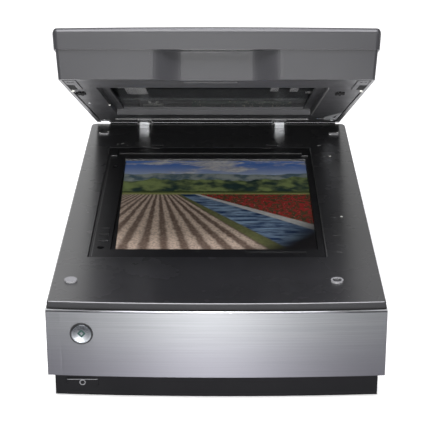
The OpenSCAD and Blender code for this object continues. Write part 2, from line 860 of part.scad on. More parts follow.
module drive_pulley() {
    color("#e4e2da") translate([belt_x, drive_y, 0]) {
        translate([0, 0, gear_z]) spur_gear(gear_teeth, gear_t, axle_r + run_fit);
        translate([0, 0, gear_z + gear_t - eps])
            tube(pulley_r - 1, axle_r + run_fit, pulley_z - gear_z - gear_t + 2 * eps);
        translate([0, 0, pulley_z])
            pulley(pulley_r, belt_w, pulley_r + belt_t + 0.8, axle_r + run_fit);
    }
}

module idler_pulley() {
    color("#e4e2da") translate([belt_x, idler_y, pulley_z])
        pulley(pulley_r, belt_w, pulley_r + belt_t + 0.8, axle_r + run_fit);
}

module motor_pinion() {
    color("#c8b06a") translate([motor_x, drive_y, 0]) {
        translate([0, 0, gear_z]) spur_gear(pinion_teeth, gear_t, 0.4, phase = 0.5);
        translate([0, 0, gear_z + gear_t - eps])
            cylinder(h = motor_z + 10 - gear_z - gear_t, r = motor_shaft_r);
    }
}

// ---------------------------------------------------------------- base: electronics and ports

board_x0 = belt_x + 40;
board_x1 = board_x0 + 96;
board_y0 = drive_y + 70;
board_y1 = board_y0 + 140;
board_z = floor_z + 6;
board_t = 1.6;
board_top = board_z + board_t;

module main_board() {
    color(board_green) {
        difference() {
            block([board_x0, board_y0, board_z], [board_x1, board_y1, board_top]);
            for (x = [board_x0 + 4, board_x1 - 4], y = [board_y0 + 4, board_y1 - 4])
                translate([x, y, board_z - over]) cylinder(h = 4, r = 1.6);
        }
        for (p = board_parts)
            translate([board_x0 + p[0], board_y0 + p[1], board_top - eps]) cube([p[2], p[3], p[4] + eps]);
        for (y = [board_y0 + 20, board_y0 + 34])
            translate([board_x0 + 8, y, board_top - eps]) cylinder(h = 12, r = 4);
        for (x = [board_x0 + 4, board_x1 - 4], y = [board_y0 + 4, board_y1 - 4])
            translate([x, y, floor_z]) tube(2.8, 1.4, board_z - floor_z);
    }
}
// place across and along the board, width, length and height of what stands on it
board_parts = [
    [30, 10, 24, 24, 2], [64, 14, 14, 20, 1.6], [10, 60, 12, 26, 6], [34, 98, 42, 8, 7], [70, 58, 18, 12, 2]
];

// centre across, width, lowest height and height of each rear port
port_z = 31.6;
port_flange = 2;
rear_ports = [
    [half_w - 28, 12, port_z, 12], [half_w - 50, 13, port_z, 12], [half_w - 114, 28, port_z, 12]
];

// Body of a port, with a flange that seats against the inside of the rear wall
module port_shell(p, depth) {
    block([p[0] - p[1] / 2, rear_y - depth, p[2]], [p[0] + p[1] / 2, rear_y - 0.4, p[2] + p[3]]);
    block(
        [p[0] - p[1] / 2 - port_flange, inner_rear - 1.6, p[2] - port_flange],
        [p[0] + p[1] / 2 + port_flange, inner_rear, p[2] + p[3] + port_flange]
    );
}

module power_inlet() {
    p = rear_ports[0];
    color(black) {
        difference() {
            port_shell(p, 16);
            translate([p[0], rear_y + over, p[2] + p[3] / 2]) rotate([90, 0, 0]) cylinder(h = 11, r = 3.2);
        }
        translate([p[0], rear_y - 1.5, p[2] + p[3] / 2]) rotate([90, 0, 0]) cylinder(h = 9, r = 1);
    }
}

module usb_port() {
    p = rear_ports[1];
    color(steel) difference() {
        port_shell(p, 17);
        difference() {
            block([p[0] - 4.2, rear_y - 10, p[2] + 1.9], [p[0] + 4.2, rear_y + over, p[2] + p[3] - 1.9]);
            block([p[0] - 2.8, rear_y - 12, p[2] + 4.4], [p[0] + 2.8, rear_y - 1.5, p[2] + p[3] - 4.4]);
        }
    }
}

module lid_port() {
    p = rear_ports[2];
    color(black) difference() {
        port_shell(p, 14);
        difference() {
            block([p[0] - 10, rear_y - 7, p[2] + 3], [p[0] + 10, rear_y + over, p[2] + p[3] - 3]);
            block([p[0] - 8, rear_y - 9, p[2] + 5.4], [p[0] + 8, rear_y - 2, p[2] + p[3] - 5.4]);
        }
    }
}

// Transport lock: a slider in the rear wall
lock_x = -20;
lock_z = 64;
lock_travel = 8;
lock_slot = 22;
module transport_lock() {
    x0 = lock_x - lock_travel / 2;
    color("#4a4b4e") {
        block([x0 - 5, inner_rear - slip, lock_z - 3], [x0 + 5, rear_y + 1.8, lock_z + 3]);
        block([x0 - 20, inner_rear - slip - 2, lock_z - 8], [x0 + 20, inner_rear - slip + eps, lock_z + 8]);
        for (x = [x0 - 2.6, x0, x0 + 2.6])
            block([x - 0.5, rear_y + 1.8 - eps, lock_z - 3], [x + 0.5, rear_y + 2.6, lock_z + 3]);
    }
}

// ---------------------------------------------------------------- scan carriage

module at_home() {
    translate([0, car_y, 0]) children();
}

// Carries a profile drawn in Y and Z along X
module along_x(x0, x1) {
    translate([x0, 0, 0]) rotate([90, 0, 90]) linear_extrude(x1 - x0) children();
}

module carriage_profile(inset) {
    a = car_l / 2 - inset;
    shoulder = 16;
    polygon([
        [-a, car_z + inset], [a, car_z + inset], [a, car_z1 - shoulder - inset / 2],
        [a - shoulder + inset / 2, car_z1 - inset], [-a + shoulder - inset / 2, car_z1 - inset],
        [-a, car_z1 - shoulder - inset / 2]
    ]);
}

mirror_len = car_x1 - car_x0 - 2 * car_wall - 2 * seat;

module carriage_housing() {
    color("#303236") at_home() difference() {
        along_x(car_x0, car_x1) carriage_profile(0);
        along_x(car_x0 + car_wall, car_x1 - car_wall) carriage_profile(car_wall);
        // reading slot, with a light guide on each side of it
        block([win_x0 + 4, -5, car_z1 - 2 * car_wall], [win_x1 - 4, 5, car_z1 + over]);
        // service opening in the floor, under the lens unit
        translate([win_x - 40, -car_l / 2 + 8, car_z - over]) cube([80, 12, 2 * car_wall]);
    }
}

light_r = 3.2;
module light_guides() {
    color("#f2f4f4") at_home() for (y = [-9.5, 9.5])
        translate([car_x0 + car_wall + seat, y, car_z1 - car_wall - light_r - seat])
            rotate([0, 90, 0]) cylinder(h = mirror_len, r = light_r);
}

module scan_mirrors() {
    color("#dfe6ea") at_home() for (m = [[0, 30, 45], [car_l / 2 - 15, 26, -40], [15 - car_l / 2, 14, 50]])
        translate([car_x0 + car_wall + seat, m[0], car_z + m[1]]) rotate([m[2], 0, 0])
            translate([0, -6, -1]) cube([mirror_len, 12, 2]);
}

module lens_unit() {
    z0 = car_z + car_wall;
    color("#44464a") at_home() translate([win_x, 12, z0]) difference() {
        union() {
            block([-30, -12, 0], [30, 12, 4]);
            for (x = [-15, 15]) {
                block([x - 9, -9, 4 - eps], [x + 9, 9, 9]);
                translate([x, 14, 9]) rotate([90, 0, 0]) cylinder(h = 28, r = 7);
            }
        }
        for (x = [-15, 15]) translate([x, 16, 9]) rotate([90, 0, 0]) cylinder(h = 8, r = 5);
        for (x = [-15, 15]) translate([x, -8, 9]) rotate([90, 0, 0]) cylinder(h = 8, r = 5);
    }
}

module sensor_board() {
    y1 = car_l / 2 - car_wall;
    color(board_green) at_home() {
        block([win_x - 50, y1 - 3, car_z + car_wall], [win_x + 50, y1 - 1.4, car_z + 30]);
        translate([win_x - 30, y1 - 7, car_z + car_wall + 4]) cube([60, 4 + eps, 10]);
        for (x = [-46, 46])
            translate([win_x + x, y1, car_z + 26]) rotate([90, 0, 0]) cylinder(h = 1.4, r = 2.4);
    }
}

module rod_bushes() {
    color("#d8c48a") at_home() for (y = [-car_l / 2 + 6, car_l / 2 - 18]) difference() {
        union() {
            block([rod_x - 8, y, rod_z], [rod_x + 8, y + 12, car_z]);
            translate([rod_x, y + 12, rod_z]) rotate([90, 0, 0]) cylinder(h = 12, r = 8);
        }
        translate([rod_x, y + 12 + over, rod_z]) rotate([90, 0, 0])
            cylinder(h = 12 + 2 * over, r = rod_r + run_fit);
    }
}

module glide_pads() {
    color("#f0efe8") at_home() for (y = [-car_l / 2 + 8, car_l / 2 - 28])
        block([rail_x - 5, y, rail_z1 + 0.1], [rail_x + 5, y + 20, car_z]);
}

module belt_clip() {
    jaw = 1.6;
    x0 = clip_x - belt_t / 2 - belt_gap;
    x1 = clip_x + belt_t / 2 + belt_gap;
    z0 = belt_z - belt_gap;
    z1 = belt_z + belt_w + belt_gap;
    color("#3c3e42") at_home() {
        difference() {
            block([x0 - jaw, -8, z0], [x1 + jaw, 8, z1 + jaw]);
            block([x0, -8 - over, z0 - over], [x1, 8 + over, z1]);
        }
        block([x0 - jaw, -8, z1 + jaw - eps], [x1 + jaw, 8, car_z]);
        block([x0 - jaw - 6, -12, car_z - 2], [x1 + jaw + 6, 12, car_z]);
    }
}

// ---------------------------------------------------------------- hinge

module hinge_sockets() {
    color("#3a3b3e") for (x = posts) difference() {
        block(
            [x - post_w / 2 - slip - socket_wall, post_y0 - slip - socket_wall, post_z0 - 2 - slip],
            [x + post_w / 2 + slip + socket_wall, post_y1 + slip + socket_wall, deck_z]
        );
        block(
            [x - post_w / 2 - slip, post_y0 - slip, post_z0 - slip],
            [x + post_w / 2 + slip, post_y1 + slip, deck_z + over]
        );
    }
}

// One post: a bar in the socket, and an arm back to the knuckle on the hinge pin
module hinge_post() {
    arm_z = hinge_z - 3;
    difference() {
        union() {
            block([-post_w / 2, post_y0, post_z0], [post_w / 2, post_y1, hinge_z + 1.5]);
            block([-post_w / 2, post_y1 - eps, arm_z], [post_w / 2, hinge_y, hinge_z + 3]);
            translate([-post_w / 2, hinge_y, hinge_z]) rotate([0, 90, 0])
                cylinder(h = post_w, r = knuckle_r);
        }
        translate([-post_w, hinge_y, hinge_z]) rotate([0, 90, 0])
            cylinder(h = 2 * post_w, r = pin_r + run_fit);
        // slit across the front of the post
        block([-post_w, post_y0 - over, hinge_z - 3.2], [post_w, post_y0 + 0.8, hinge_z - 2.2]);
    }
}

module hinge_posts() {
    color(steel) for (x = posts) translate([x, 0, 0]) hinge_post();
}

// ---------------------------------------------------------------- cover

// Puts its child into the cover's frame, opened by the rest angle
module on_lid() {
    translate([0, hinge_y, hinge_z]) rotate([-lid_open, 0, 0]) children();
}

// Points round the cover at one height; rise lifts them towards the middle of its width,
// and taper spreads them towards the hinge
function lid_ring(side, front, rear, r, z, rise = 0, taper = 0) =
    let (
        x = lid_w / 2 - side,
        y0 = -lid_front + front,
        y1 = lid_rear - rear,
        spread = [-0.75, -0.5, -0.25, 0, 0.25, 0.5, 0.75] * (x - r)
    )
    [
        for (p = concat(
            arc_points([r - x, y0 + r], r, 180, 270, 5), [for (u = spread) [u, y0]],
            arc_points([x - r, y0 + r], r, 270, 360, 5), arc_points([x - r, y1 - r], r, 0, 90, 5),
            [for (u = spread) [-u, y1]], arc_points([r - x, y1 - r], r, 90, 180, 5)
        ))
            [p[0] * (1 + taper / x * (p[1] - y0) / (y1 - y0)), p[1], z + rise * (1 - pow(p[0] / x, 2))]
    ];

// Depth of the finger grip at x, a flat middle with smooth flanks
grip_flat = 0.5;
function grip_share(x) =
    let (u = abs(x) / (grip_w / 2))
    u < grip_flat ? 1 : u > 1 ? 0 : (1 + cos(180 * (u - grip_flat) / (1 - grip_flat))) / 2;

// Finger grip as a solid, grown by t for the wall behind it
module grip(t, z0, z1) {
    steps = 24;
    reach = grip_w / 2 + t;
    skirt_y = -lid_front + rim_front + t;
    translate([0, 0, z0]) linear_extrude(z1 - z0) polygon([
        [-reach, -lid_front - over],
        for (i = [-steps:steps])
            [reach * i / steps, skirt_y + grip_depth * grip_share(grip_w / 2 * i / steps)],
        [reach, -lid_front - over]
    ]);
}

module lid_shell() {
    // upper band with its rounded edge and crowned top
    wrap([
        each lid_ring(band_flare, 0, 0, lid_corner, lid_step_z),
        for (i = [0:5])
            let (
                inset = lid_edge_in * (1 - cos(18 * i)),
                z = lid_top - lid_crown - lid_edge * (1 - sin(18 * i))
            )
            each lid_ring(inset, inset, inset, lid_corner - inset, z, lid_crown * sin(18 * i))
    ]);
    // drafted skirt
    wrap([
        each lid_ring(
            band_flare + lid_step, lid_step, lid_step, lid_corner - lid_step, lid_step_z + eps
        ),
        each lid_ring(rim_inset, rim_front, rim_front / 2, lid_corner - lid_step, rim_z, 0, rim_taper)
    ]);
}

boss_r = 3.4;
lid_screw_x = rim_w / 2 - 8.3;
lid_screw_s = [20, lid_front - 27];
lid_screws_at = [
    for (x = [-lid_screw_x, lid_screw_x], s = lid_screw_s) [x, s],
    [-lid_screw_x, (lid_screw_s[0] + lid_screw_s[1]) / 2]
];

rib_xs = [-58, -2];
rib_h = 5;

module lid_cover() {
    inset = lid_wall + rim_inset;
    front_inset = lid_wall + 2 * rim_front;
    color(dark) on_lid() difference() {
        union() {
            difference() {
                lid_shell();
                // inside
                difference() {
                    translate([0, 0, rim_z - over])
                        linear_extrude(lid_ceiling - rim_z + over)
                            round_rect(
                                -lid_w / 2 + inset, -lid_front + front_inset, lid_w / 2 - inset,
                                lid_rear - lid_wall - 0.5, lid_corner - lid_wall
                            );
                    grip(lid_wall, rim_z - 2 * over, lid_step_z);
                }
            }
            // lip inside the rear wall, down to the rim
            block(
                [inset - lid_w / 2 - eps, lip_y0, rim_z], [lid_w / 2 - inset + eps, lid_rear - lid_wall, 0]
            );
            // bosses for the screws of the underside plate
            for (p = lid_screws_at) translate([p[0], -p[1], plate_z1])
                tube(boss_r, 1.3, lid_ceiling - plate_z1 + eps);
            // ribs under the ceiling, seen through the window
            for (x = rib_xs)
                block([x - 0.8, -mat_s1, lid_ceiling - rib_h], [x + 0.8, -mat_rear - 60, lid_ceiling + eps]);
            for (s = [mat_s1 - 150, mat_s1 - 75])
                block(
                    [mat_x0 + 10, -s - 0.8, lid_ceiling - rib_h], [mat_x1 - 34, -s + 0.8, lid_ceiling + eps]
                );
        }
        grip(0, rim_z - over, lid_step_z);
        // relief over the lead at the left end of the rear edge
        block([-lid_w, -1, rim_z - over], [-rim_w / 2 + 11.9, lid_rear + over, rim_z + 2.6]);
        // relief along the lower rear edge, so that the cover clears the base as it opens
        along_x(-lid_w, lid_w) polygon([
            [lip_y1, rim_z - over], [lip_y1, rim_z], [lid_rear, 4.5], [lid_rear + over, 4.5],
            [lid_rear + over, rim_z - over]
        ]);
        hinge_cuts(knuckle_r + 5);
    }
}

// Openings for the posts and knuckles through the rear of the cover
module hinge_cuts(top) {
    for (x = posts)
        block([x - hinge_cut, -bracket_l - 1, rim_z - over], [x + hinge_cut, lid_rear + over, top]);
}

bracket_t = 2.5;
bracket_l = 26;
hinge_cut = post_w / 2 + slip + bracket_t + slip;

// Underside plate with the recess for the document mat
module lid_inner() {
    gap = rim_inset + lid_wall + seat + 0.4;
    front_gap = 2 * rim_front + lid_wall + seat + 0.4;
    wall = 2;
    x_out = lid_w / 2 - gap;
    color("#3b3c3e") on_lid() difference() {
        union() {
            translate([0, 0, inner_z0]) linear_extrude(plate_t)
                round_rect(-x_out, -lid_front + front_gap + grip_depth, x_out, 1.5, 4);
            // tray
            block(
                [mat_x0 - wall, -mat_s1 - wall, plate_z1 - eps],
                [mat_x1 + wall, -mat_rear + wall, tray_z + ledge_t]
            );
            // raised pads at the front corners, and a lip at the front edge
            for (x = [-x_out, x_out - 11])
                block([x, -lid_front + 16, rim_z + 0.2], [x + 11, -lid_front + 92, inner_z0 + eps]);
            block([-30, -lid_front + 34, rim_z + 0.2], [19, -lid_front + 36.5, inner_z0 + eps]);
        }
        block([-lid_w, -1, rim_z - over], [-rim_w / 2 + 11.9, lid_rear, plate_z1 + over]);
        block([mat_x0, -mat_s1, inner_z0 - over], [mat_x1, -mat_rear, tray_z]);
        block(
            [mat_x0 + ledge_w, -mat_s1 + ledge_w, tray_z - over],
            [mat_x1 - ledge_w, -mat_rear - ledge_w, tray_z + ledge_t + over]
        );
        hinge_cuts(plate_z1 + over);
        // slot of the lamp lock
        block(
            [lid_lock_x - 3 - slip - lid_lock_travel, -lid_lock_s - 5 - slip, inner_z0 - over],
            [lid_lock_x + 3 + slip, -lid_lock_s + 5 + slip, plate_z1 + over]
        );
        for (p = lid_screws_at) translate([p[0], -p[1], inner_z0 - over]) {
            cylinder(h = plate_t + 2 * over, r = 1.8);
            cylinder(h = over + 1.2, r = 3.6);
        }
        // star-like reliefs near the front corners
        for (x = [-rim_w / 2 + 10.9, rim_w / 2 - 23.9])
            translate([x, -lid_front + 120, inner_z0 - over]) for (a = [0, 60, 120])
            rotate([0, 0, a]) translate([-4, -1, 0]) cube([8, 2, over + 1]);
    }
}

module lamp_window() {
    lap = ledge_w - 3;
    color("#c9d6da", 0.35) on_lid()
        block(
            [mat_x0 + ledge_w - lap, -mat_s1 + ledge_w - lap, lamp_glass_z],
            [mat_x1 - ledge_w + lap, -mat_rear - ledge_w + lap, lamp_glass_z + lamp_window_t]
        );
}

// Fork of each hinge in the cover: two cheeks, a web and the pin
module hinge_bracket() {
    cheek_x = post_w / 2 + slip;
    for (side = [-1, 1]) {
        x0 = side > 0 ? cheek_x : -cheek_x - bracket_t;
        block([x0, -bracket_l, plate_z1 + 4], [x0 + bracket_t, 3, lid_ceiling]);
        translate([x0, 0, 0]) rotate([0, 90, 0]) cylinder(h = bracket_t, r = knuckle_r);
        block([x0, -knuckle_r, 0], [x0 + bracket_t, 3, plate_z1 + 4 + eps]);
    }
    block([-cheek_x - bracket_t, -bracket_l, lid_ceiling - bracket_t], [cheek_x + bracket_t, 3, lid_ceiling]);
    translate([-cheek_x - bracket_t + eps, 0, 0]) rotate([0, 90, 0])
        cylinder(h = 2 * (cheek_x + bracket_t - eps), r = pin_r);
}

module hinge_brackets() {
    color(steel) on_lid() for (x = posts) translate([x, 0, 0]) hinge_bracket();
}

// ---------------------------------------------------------------- cover: lamp drive

lamp_rod_s0 = lamp_s0 - 32;
lamp_rod_s1 = lamp_s1 + 27;

module lamp_rod() {
    color(steel) on_lid() {
        translate([lamp_rod_x, -lamp_rod_s0, lamp_rod_z]) rotate([90, 0, 0])
            cylinder(h = lamp_rod_s1 - lamp_rod_s0, r = lamp_rod_r);
        // end blocks, standing on the underside plate
        for (s = [lamp_rod_s0 + 8, lamp_rod_s1])
            difference() {
                block([lamp_rod_x - 6, -s, plate_z1], [lamp_rod_x + 6, -s + 8, lamp_rod_z + 6]);
                translate([lamp_rod_x, -s + 8 + over, lamp_rod_z]) rotate([90, 0, 0])
                    cylinder(h = 8 + 2 * over, r = lamp_rod_r - eps);
            }
    }
}

module lamp_rail() {
    color(steel) on_lid() {
        block(
            [lamp_rail_x - 5, -lamp_rod_s1, plate_z1], [lamp_rail_x - 3, -lamp_rod_s0, lamp_z - 1.1]
        );
        block(
            [lamp_rail_x - 5, -lamp_rod_s1, lamp_z - 1.1], [lamp_rail_x + 5, -lamp_rod_s0, lamp_z - 0.1]
        );
    }
}

module lamp_axles() {
    z0 = lamp_belt_z - belt_gap - pulley_flange - 0.6;
    color(steel) on_lid() for (s = [lamp_drive_s, lamp_idler_s]) translate([lamp_belt_x, -s, z0]) {
        cylinder(h = lid_ceiling - z0, r = lamp_axle_r);
        cylinder(h = 0.4, r = 3);
        top_z = s == lamp_drive_s ? lamp_gear_z + gear_t : lamp_gear_z;
        translate([0, 0, top_z - z0 + 0.2]) cylinder(h = lid_ceiling - top_z - 0.2, r = 4);
    }
}

module lamp_belt() {
    color("#222222") on_lid()
        belt_loop(
            lamp_belt_x, -lamp_idler_s, -lamp_drive_s, lamp_pulley_r + belt_gap, lamp_belt_t,
            lamp_belt_z, lamp_belt_w
        );
}

module lamp_drive() {
    color("#e4e2da") on_lid() translate([lamp_belt_x, -lamp_drive_s, 0]) {
        translate([0, 0, lamp_belt_z - belt_gap - pulley_flange])
            pulley(lamp_pulley_r, lamp_belt_w, lamp_pulley_r + lamp_belt_t + 0.8, lamp_axle_r + run_fit);
        translate([0, 0, lamp_gear_z - eps])
            spur_gear(gear_teeth, gear_t, lamp_axle_r + run_fit);
    }
}

module lamp_idler() {
    color("#e4e2da") on_lid()
        translate([lamp_belt_x, -lamp_idler_s, lamp_belt_z - belt_gap - pulley_flange])
            pulley(lamp_pulley_r, lamp_belt_w, lamp_pulley_r + lamp_belt_t + 0.8, lamp_axle_r + run_fit);
}

module lamp_pinion() {
    color("#c8b06a") on_lid() translate([lamp_motor_x, -lamp_drive_s, lamp_gear_z]) {
        spur_gear(pinion_teeth, gear_t, 0.4, phase = 0.5);
        translate([0, 0, gear_t - eps]) cylinder(h = 4, r = lamp_shaft_r);
    }
}

module lamp_motor() {
    color("#b5b8bb") on_lid() translate([lamp_motor_x, -lamp_drive_s, lamp_motor_z]) difference() {
        union() {
            cylinder(h = lid_ceiling - lamp_motor_z, r = lamp_motor_r);
            block([-16, -4, lid_ceiling - lamp_motor_z - 1.5], [16, 4, lid_ceiling - lamp_motor_z]);
        }
        translate([0, 0, -over]) cylinder(h = 6, r = lamp_shaft_r + run_fit);
    }
}

// Control board, upright behind the recess
module lid_board() {
    s = mat_rear - 10;
    color(board_green) on_lid() {
        block([-30, -s, plate_z1], [84, -s + 1.6, lid_ceiling - 8]);
        for (p = [[-24, 9, 6, 5], [-6, 14, 10, 4], [44, 9, 7, 6], [58, 10, 6, 6], [20, 14, 9, 3]])
            block([p[0], -s - p[3], lamp_z + 2], [p[0] + p[1], -s + eps, lamp_z + 2 + p[2]]);
        // second board, on pillars under the ceiling
        translate([mat_x1 - 86, -mat_s1 + 8, 0]) {
            z = lid_ceiling - 7;
            block([0, 0, z], [74, 44, z + 1.6]);
            for (x = [6, 68], y = [6, 38]) translate([x, y, z + 1.6 - eps]) cylinder(h = 5.4 + eps, r = 2.6);
            for (p = [[31, 8, 9, 6], [50, 8, 9, 6], [8, 10, 14, 10], [12, 28, 30, 5], [52, 26, 10, 10]])
                block([p[0], p[1], z - 2.4], [p[0] + p[2], p[1] + p[3], z + eps]);
        }
    }
}

module cable_bush() {
    s = mat_rear - 4;
    color("white") on_lid() translate([-74, -s, plate_z1]) {
        block([-12, 0, 0], [12, 8, 10]);
        translate([0, 8, 14]) rotate([90, 0, 0]) tube(6, 3.4, 8);
        block([-3, 1, 8], [3, 7, 10.4]);
    }
    // clip for the leads, under the ceiling
    color("white") on_lid() translate([mat_x0 + 28, -mat_s1, 0]) {
        block([0, 1, lid_ceiling - 8], [20, 50, lid_ceiling - 6]);
        for (y = [1, 48]) block([0, y, lid_ceiling - 6 - eps], [20, y + 2, lid_ceiling]);
    }
}

module lid_screws() {
    color(steel) on_lid() for (p = lid_screws_at) translate([p[0], -p[1], inner_z0 + 1.2])
        rotate([180, 0, 0]) pan_screw(1.2, 8);
}

// Lock of the lamp carriage, a light slider in the underside plate
lid_lock_travel = 10;
lid_lock_x = rim_w / 2 - 13.8;
lid_lock_s = 42;
module lid_lock() {
    color("#9a9ca0") on_lid() translate([lid_lock_x, -lid_lock_s, 0]) {
        // flat lever under the plate, stem through its slot, and a foot on top of it
        translate([0, 0, rim_z + 0.1]) linear_extrude(inner_z0 - rim_z - 0.2) difference() {
            polygon([[-6, -8], [-6, -22], [9.6, -84], [9.6, 4], [0, 8], [-4, 6]]);
            polygon([[2, -20], [6.6, -60], [6.6, -12]]);
        }
        block([-3, -5, rim_z + 0.4], [3, 5, plate_z1 + 0.3]);
        block([-6, -8, plate_z1 + 0.1], [6, 8, plate_z1 + 2]);
    }
}

// ---------------------------------------------------------------- lamp carriage

module lamp_housing() {
    r = 3;
    color("#26272a") on_lid() translate([0, -lamp_s, 0]) difference() {
        along_x(lamp_x0, lamp_x1) polygon([
            [-lamp_l / 2, lamp_z], [lamp_l / 2, lamp_z], [lamp_l / 2, lamp_z1 - r],
            [lamp_l / 2 - r, lamp_z1], [-lamp_l / 2 + r, lamp_z1], [-lamp_l / 2, lamp_z1 - r]
        ]);
        // channel for the diffuser, open towards the window
        block([mat_x0 + 4, -12, lamp_z - over], [mat_x1 - 4, 12, lamp_z1 - 2]);
    }
}

module lamp_diffuser() {
    color("#f4f6f6") on_lid() translate([0, -lamp_s, 0])
        block([mat_x0 + 4 + seat, -12 + seat, lamp_z + 0.4], [mat_x1 - 4 - seat, 12 - seat, lamp_z1 - 2]);
}

module lamp_bushes() {
    color("#d8c48a") on_lid() translate([0, -lamp_s, 0]) {
        for (y = [-lamp_l / 2, lamp_l / 2 - 10]) difference() {
            union() {
                block([lamp_x1, y, lamp_rod_z - 5], [lamp_rod_x, y + 10, lamp_rod_z + 5]);
                translate([lamp_rod_x, y + 10, lamp_rod_z]) rotate([90, 0, 0]) cylinder(h = 10, r = 5);
            }
            translate([lamp_rod_x, y + 10 + over, lamp_rod_z]) rotate([90, 0, 0])
                cylinder(h = 10 + 2 * over, r = lamp_rod_r + run_fit);
        }
    }
}

module lamp_clip() {
    jaw = 1.4;
    x0 = lamp_clip_x - lamp_belt_t / 2 - belt_gap;
    x1 = lamp_clip_x + lamp_belt_t / 2 + belt_gap;
    z1 = lamp_belt_z + lamp_belt_w + belt_gap;
    color("#3c3e42") on_lid() translate([0, -lamp_s, 0]) difference() {
        block([x0 - jaw, -6, lamp_z1], [x1 + jaw, 6, z1]);
        block([x0, -6 - over, lamp_belt_z - belt_gap], [x1, 6 + over, z1 + over]);
    }
}

lower_case();
upper_case();
front_panel();
start_bezel();
document_glass();
glass_seal();
calibration_strip();
film_guide();
film_sheet();
feet();
lid_bumpers();
hinge_sockets();
guide_rod();
rod_clamps();
slide_rail();
belt_axles();
scan_motor();
scan_belt();
main_board();
power_inlet();
usb_port();
lid_port();
case_screws();
start_button();
power_button();
carriage_housing();
light_guides();
scan_mirrors();
lens_unit();
sensor_board();
rod_bushes();
glide_pads();
belt_clip();
drive_pulley();
idler_pulley();
motor_pinion();
transport_lock();
hinge_posts();
lid_cover();
lid_inner();
lamp_window();
hinge_brackets();
lamp_rod();
lamp_rail();
lamp_axles();
lamp_motor();
lamp_belt();
lid_board();
cable_bush();
lid_screws();
lid_lock();
lamp_housing();
lamp_diffuser();
lamp_bushes();
lamp_clip();
lamp_drive();
lamp_idler();
lamp_pinion();
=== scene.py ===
"""Looks of a flatbed film scanner: finishes, prints, small details, studio light and the camera."""

import json
import math

import bmesh
import bpy
from mathutils import Matrix, Vector


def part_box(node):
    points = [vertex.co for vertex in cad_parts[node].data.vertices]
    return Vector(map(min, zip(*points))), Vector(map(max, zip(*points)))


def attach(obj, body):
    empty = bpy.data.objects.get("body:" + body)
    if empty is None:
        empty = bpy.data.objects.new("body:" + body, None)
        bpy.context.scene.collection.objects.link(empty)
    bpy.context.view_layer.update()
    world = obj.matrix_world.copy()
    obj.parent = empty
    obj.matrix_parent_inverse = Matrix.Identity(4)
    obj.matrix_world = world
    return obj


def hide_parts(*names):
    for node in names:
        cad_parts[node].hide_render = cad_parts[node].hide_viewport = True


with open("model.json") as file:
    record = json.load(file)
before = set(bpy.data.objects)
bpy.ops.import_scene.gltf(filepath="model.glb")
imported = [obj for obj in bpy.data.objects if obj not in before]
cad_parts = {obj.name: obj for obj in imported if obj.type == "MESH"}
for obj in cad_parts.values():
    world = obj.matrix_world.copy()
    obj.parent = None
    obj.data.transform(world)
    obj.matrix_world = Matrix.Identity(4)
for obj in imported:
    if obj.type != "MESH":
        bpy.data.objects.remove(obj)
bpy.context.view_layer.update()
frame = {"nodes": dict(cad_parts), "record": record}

MM = 0.001
nodes = frame["nodes"]

# ---------------------------------------------------------------- camera

FOCAL_PX = 1545.7
IMAGE_PX = 430
SENSOR_MM = 36
CAMERA_AT = Vector((6.2, -1522.9, 705.7)) * MM
CAMERA_PAN = math.radians(-0.3325)
CAMERA_TILT = math.radians(22.40)
CAMERA_ROLL = math.radians(-0.055)


def make_camera():
    ahead = Vector((
        math.sin(CAMERA_PAN) * math.cos(CAMERA_TILT),
        math.cos(CAMERA_PAN) * math.cos(CAMERA_TILT),
        -math.sin(CAMERA_TILT),
    ))
    level = Vector((math.cos(CAMERA_PAN), -math.sin(CAMERA_PAN), 0))
    upright = level.cross(ahead)
    right = level * math.cos(CAMERA_ROLL) + upright * math.sin(CAMERA_ROLL)
    up = upright * math.cos(CAMERA_ROLL) - level * math.sin(CAMERA_ROLL)
    data = bpy.data.cameras.new("camera")
    data.sensor_width = SENSOR_MM
    data.lens = SENSOR_MM * FOCAL_PX / IMAGE_PX
    data.clip_start = 0.05
    data.clip_end = 50
    camera = bpy.data.objects.new("camera", data)
    camera.matrix_world = Matrix((right, up, -ahead)).transposed().to_4x4()
    camera.location = CAMERA_AT
    bpy.context.scene.collection.objects.link(camera)
    bpy.context.scene.camera = camera


make_camera()

# ---------------------------------------------------------------- shader building


class Tree:
    """Builds the nodes of a material or of the world in its emptied tree."""

    def __init__(self, owner, output):
        owner.use_nodes = True
        self.nodes = owner.node_tree.nodes
        self.links = owner.node_tree.links
        self.nodes.clear()
        self.surface = self.node(output).inputs["Surface"]
        self.coordinates = self.node("ShaderNodeTexCoord").outputs

    def node(self, kind, **settings):
        made = self.nodes.new(kind)
        for name, value in settings.items():
            setattr(made, name, value)
        return made

    def join(self, source, target):
        self.links.new(source, target)

    def feed(self, target, value):
        """Puts a number, a colour or another node's output into an input."""
        if isinstance(value, bpy.types.NodeSocket):
            self.join(value, target)
        else:
            target.default_value = value

    def math(self, operation, a, b=0.0):
        made = self.node("ShaderNodeMath", operation=operation)
        self.feed(made.inputs[0], a)
        self.feed(made.inputs[1], b)
        return made.outputs[0]

    def spread(self, value, low, high, out_low=0.0, out_high=1.0, smooth=True):
        """Maps low..high to out_low..out_high, and holds the ends."""
        made = self.node("ShaderNodeMapRange")
        made.interpolation_type = "SMOOTHSTEP" if smooth else "LINEAR"
        self.feed(made.inputs["Value"], value)
        made.inputs["From Min"].default_value = low
        made.inputs["From Max"].default_value = high
        made.inputs["To Min"].default_value = out_low
        made.inputs["To Max"].default_value = out_high
        return made.outputs["Result"]

    def background_rays(self):
        """1 for a ray that shows the background: from the camera, off gloss or through glass."""
        rays = self.node("ShaderNodeLightPath").outputs
        seen = self.math("MAXIMUM", rays["Is Camera Ray"], rays["Is Glossy Ray"])
        return self.math("MAXIMUM", seen, rays["Is Transmission Ray"])


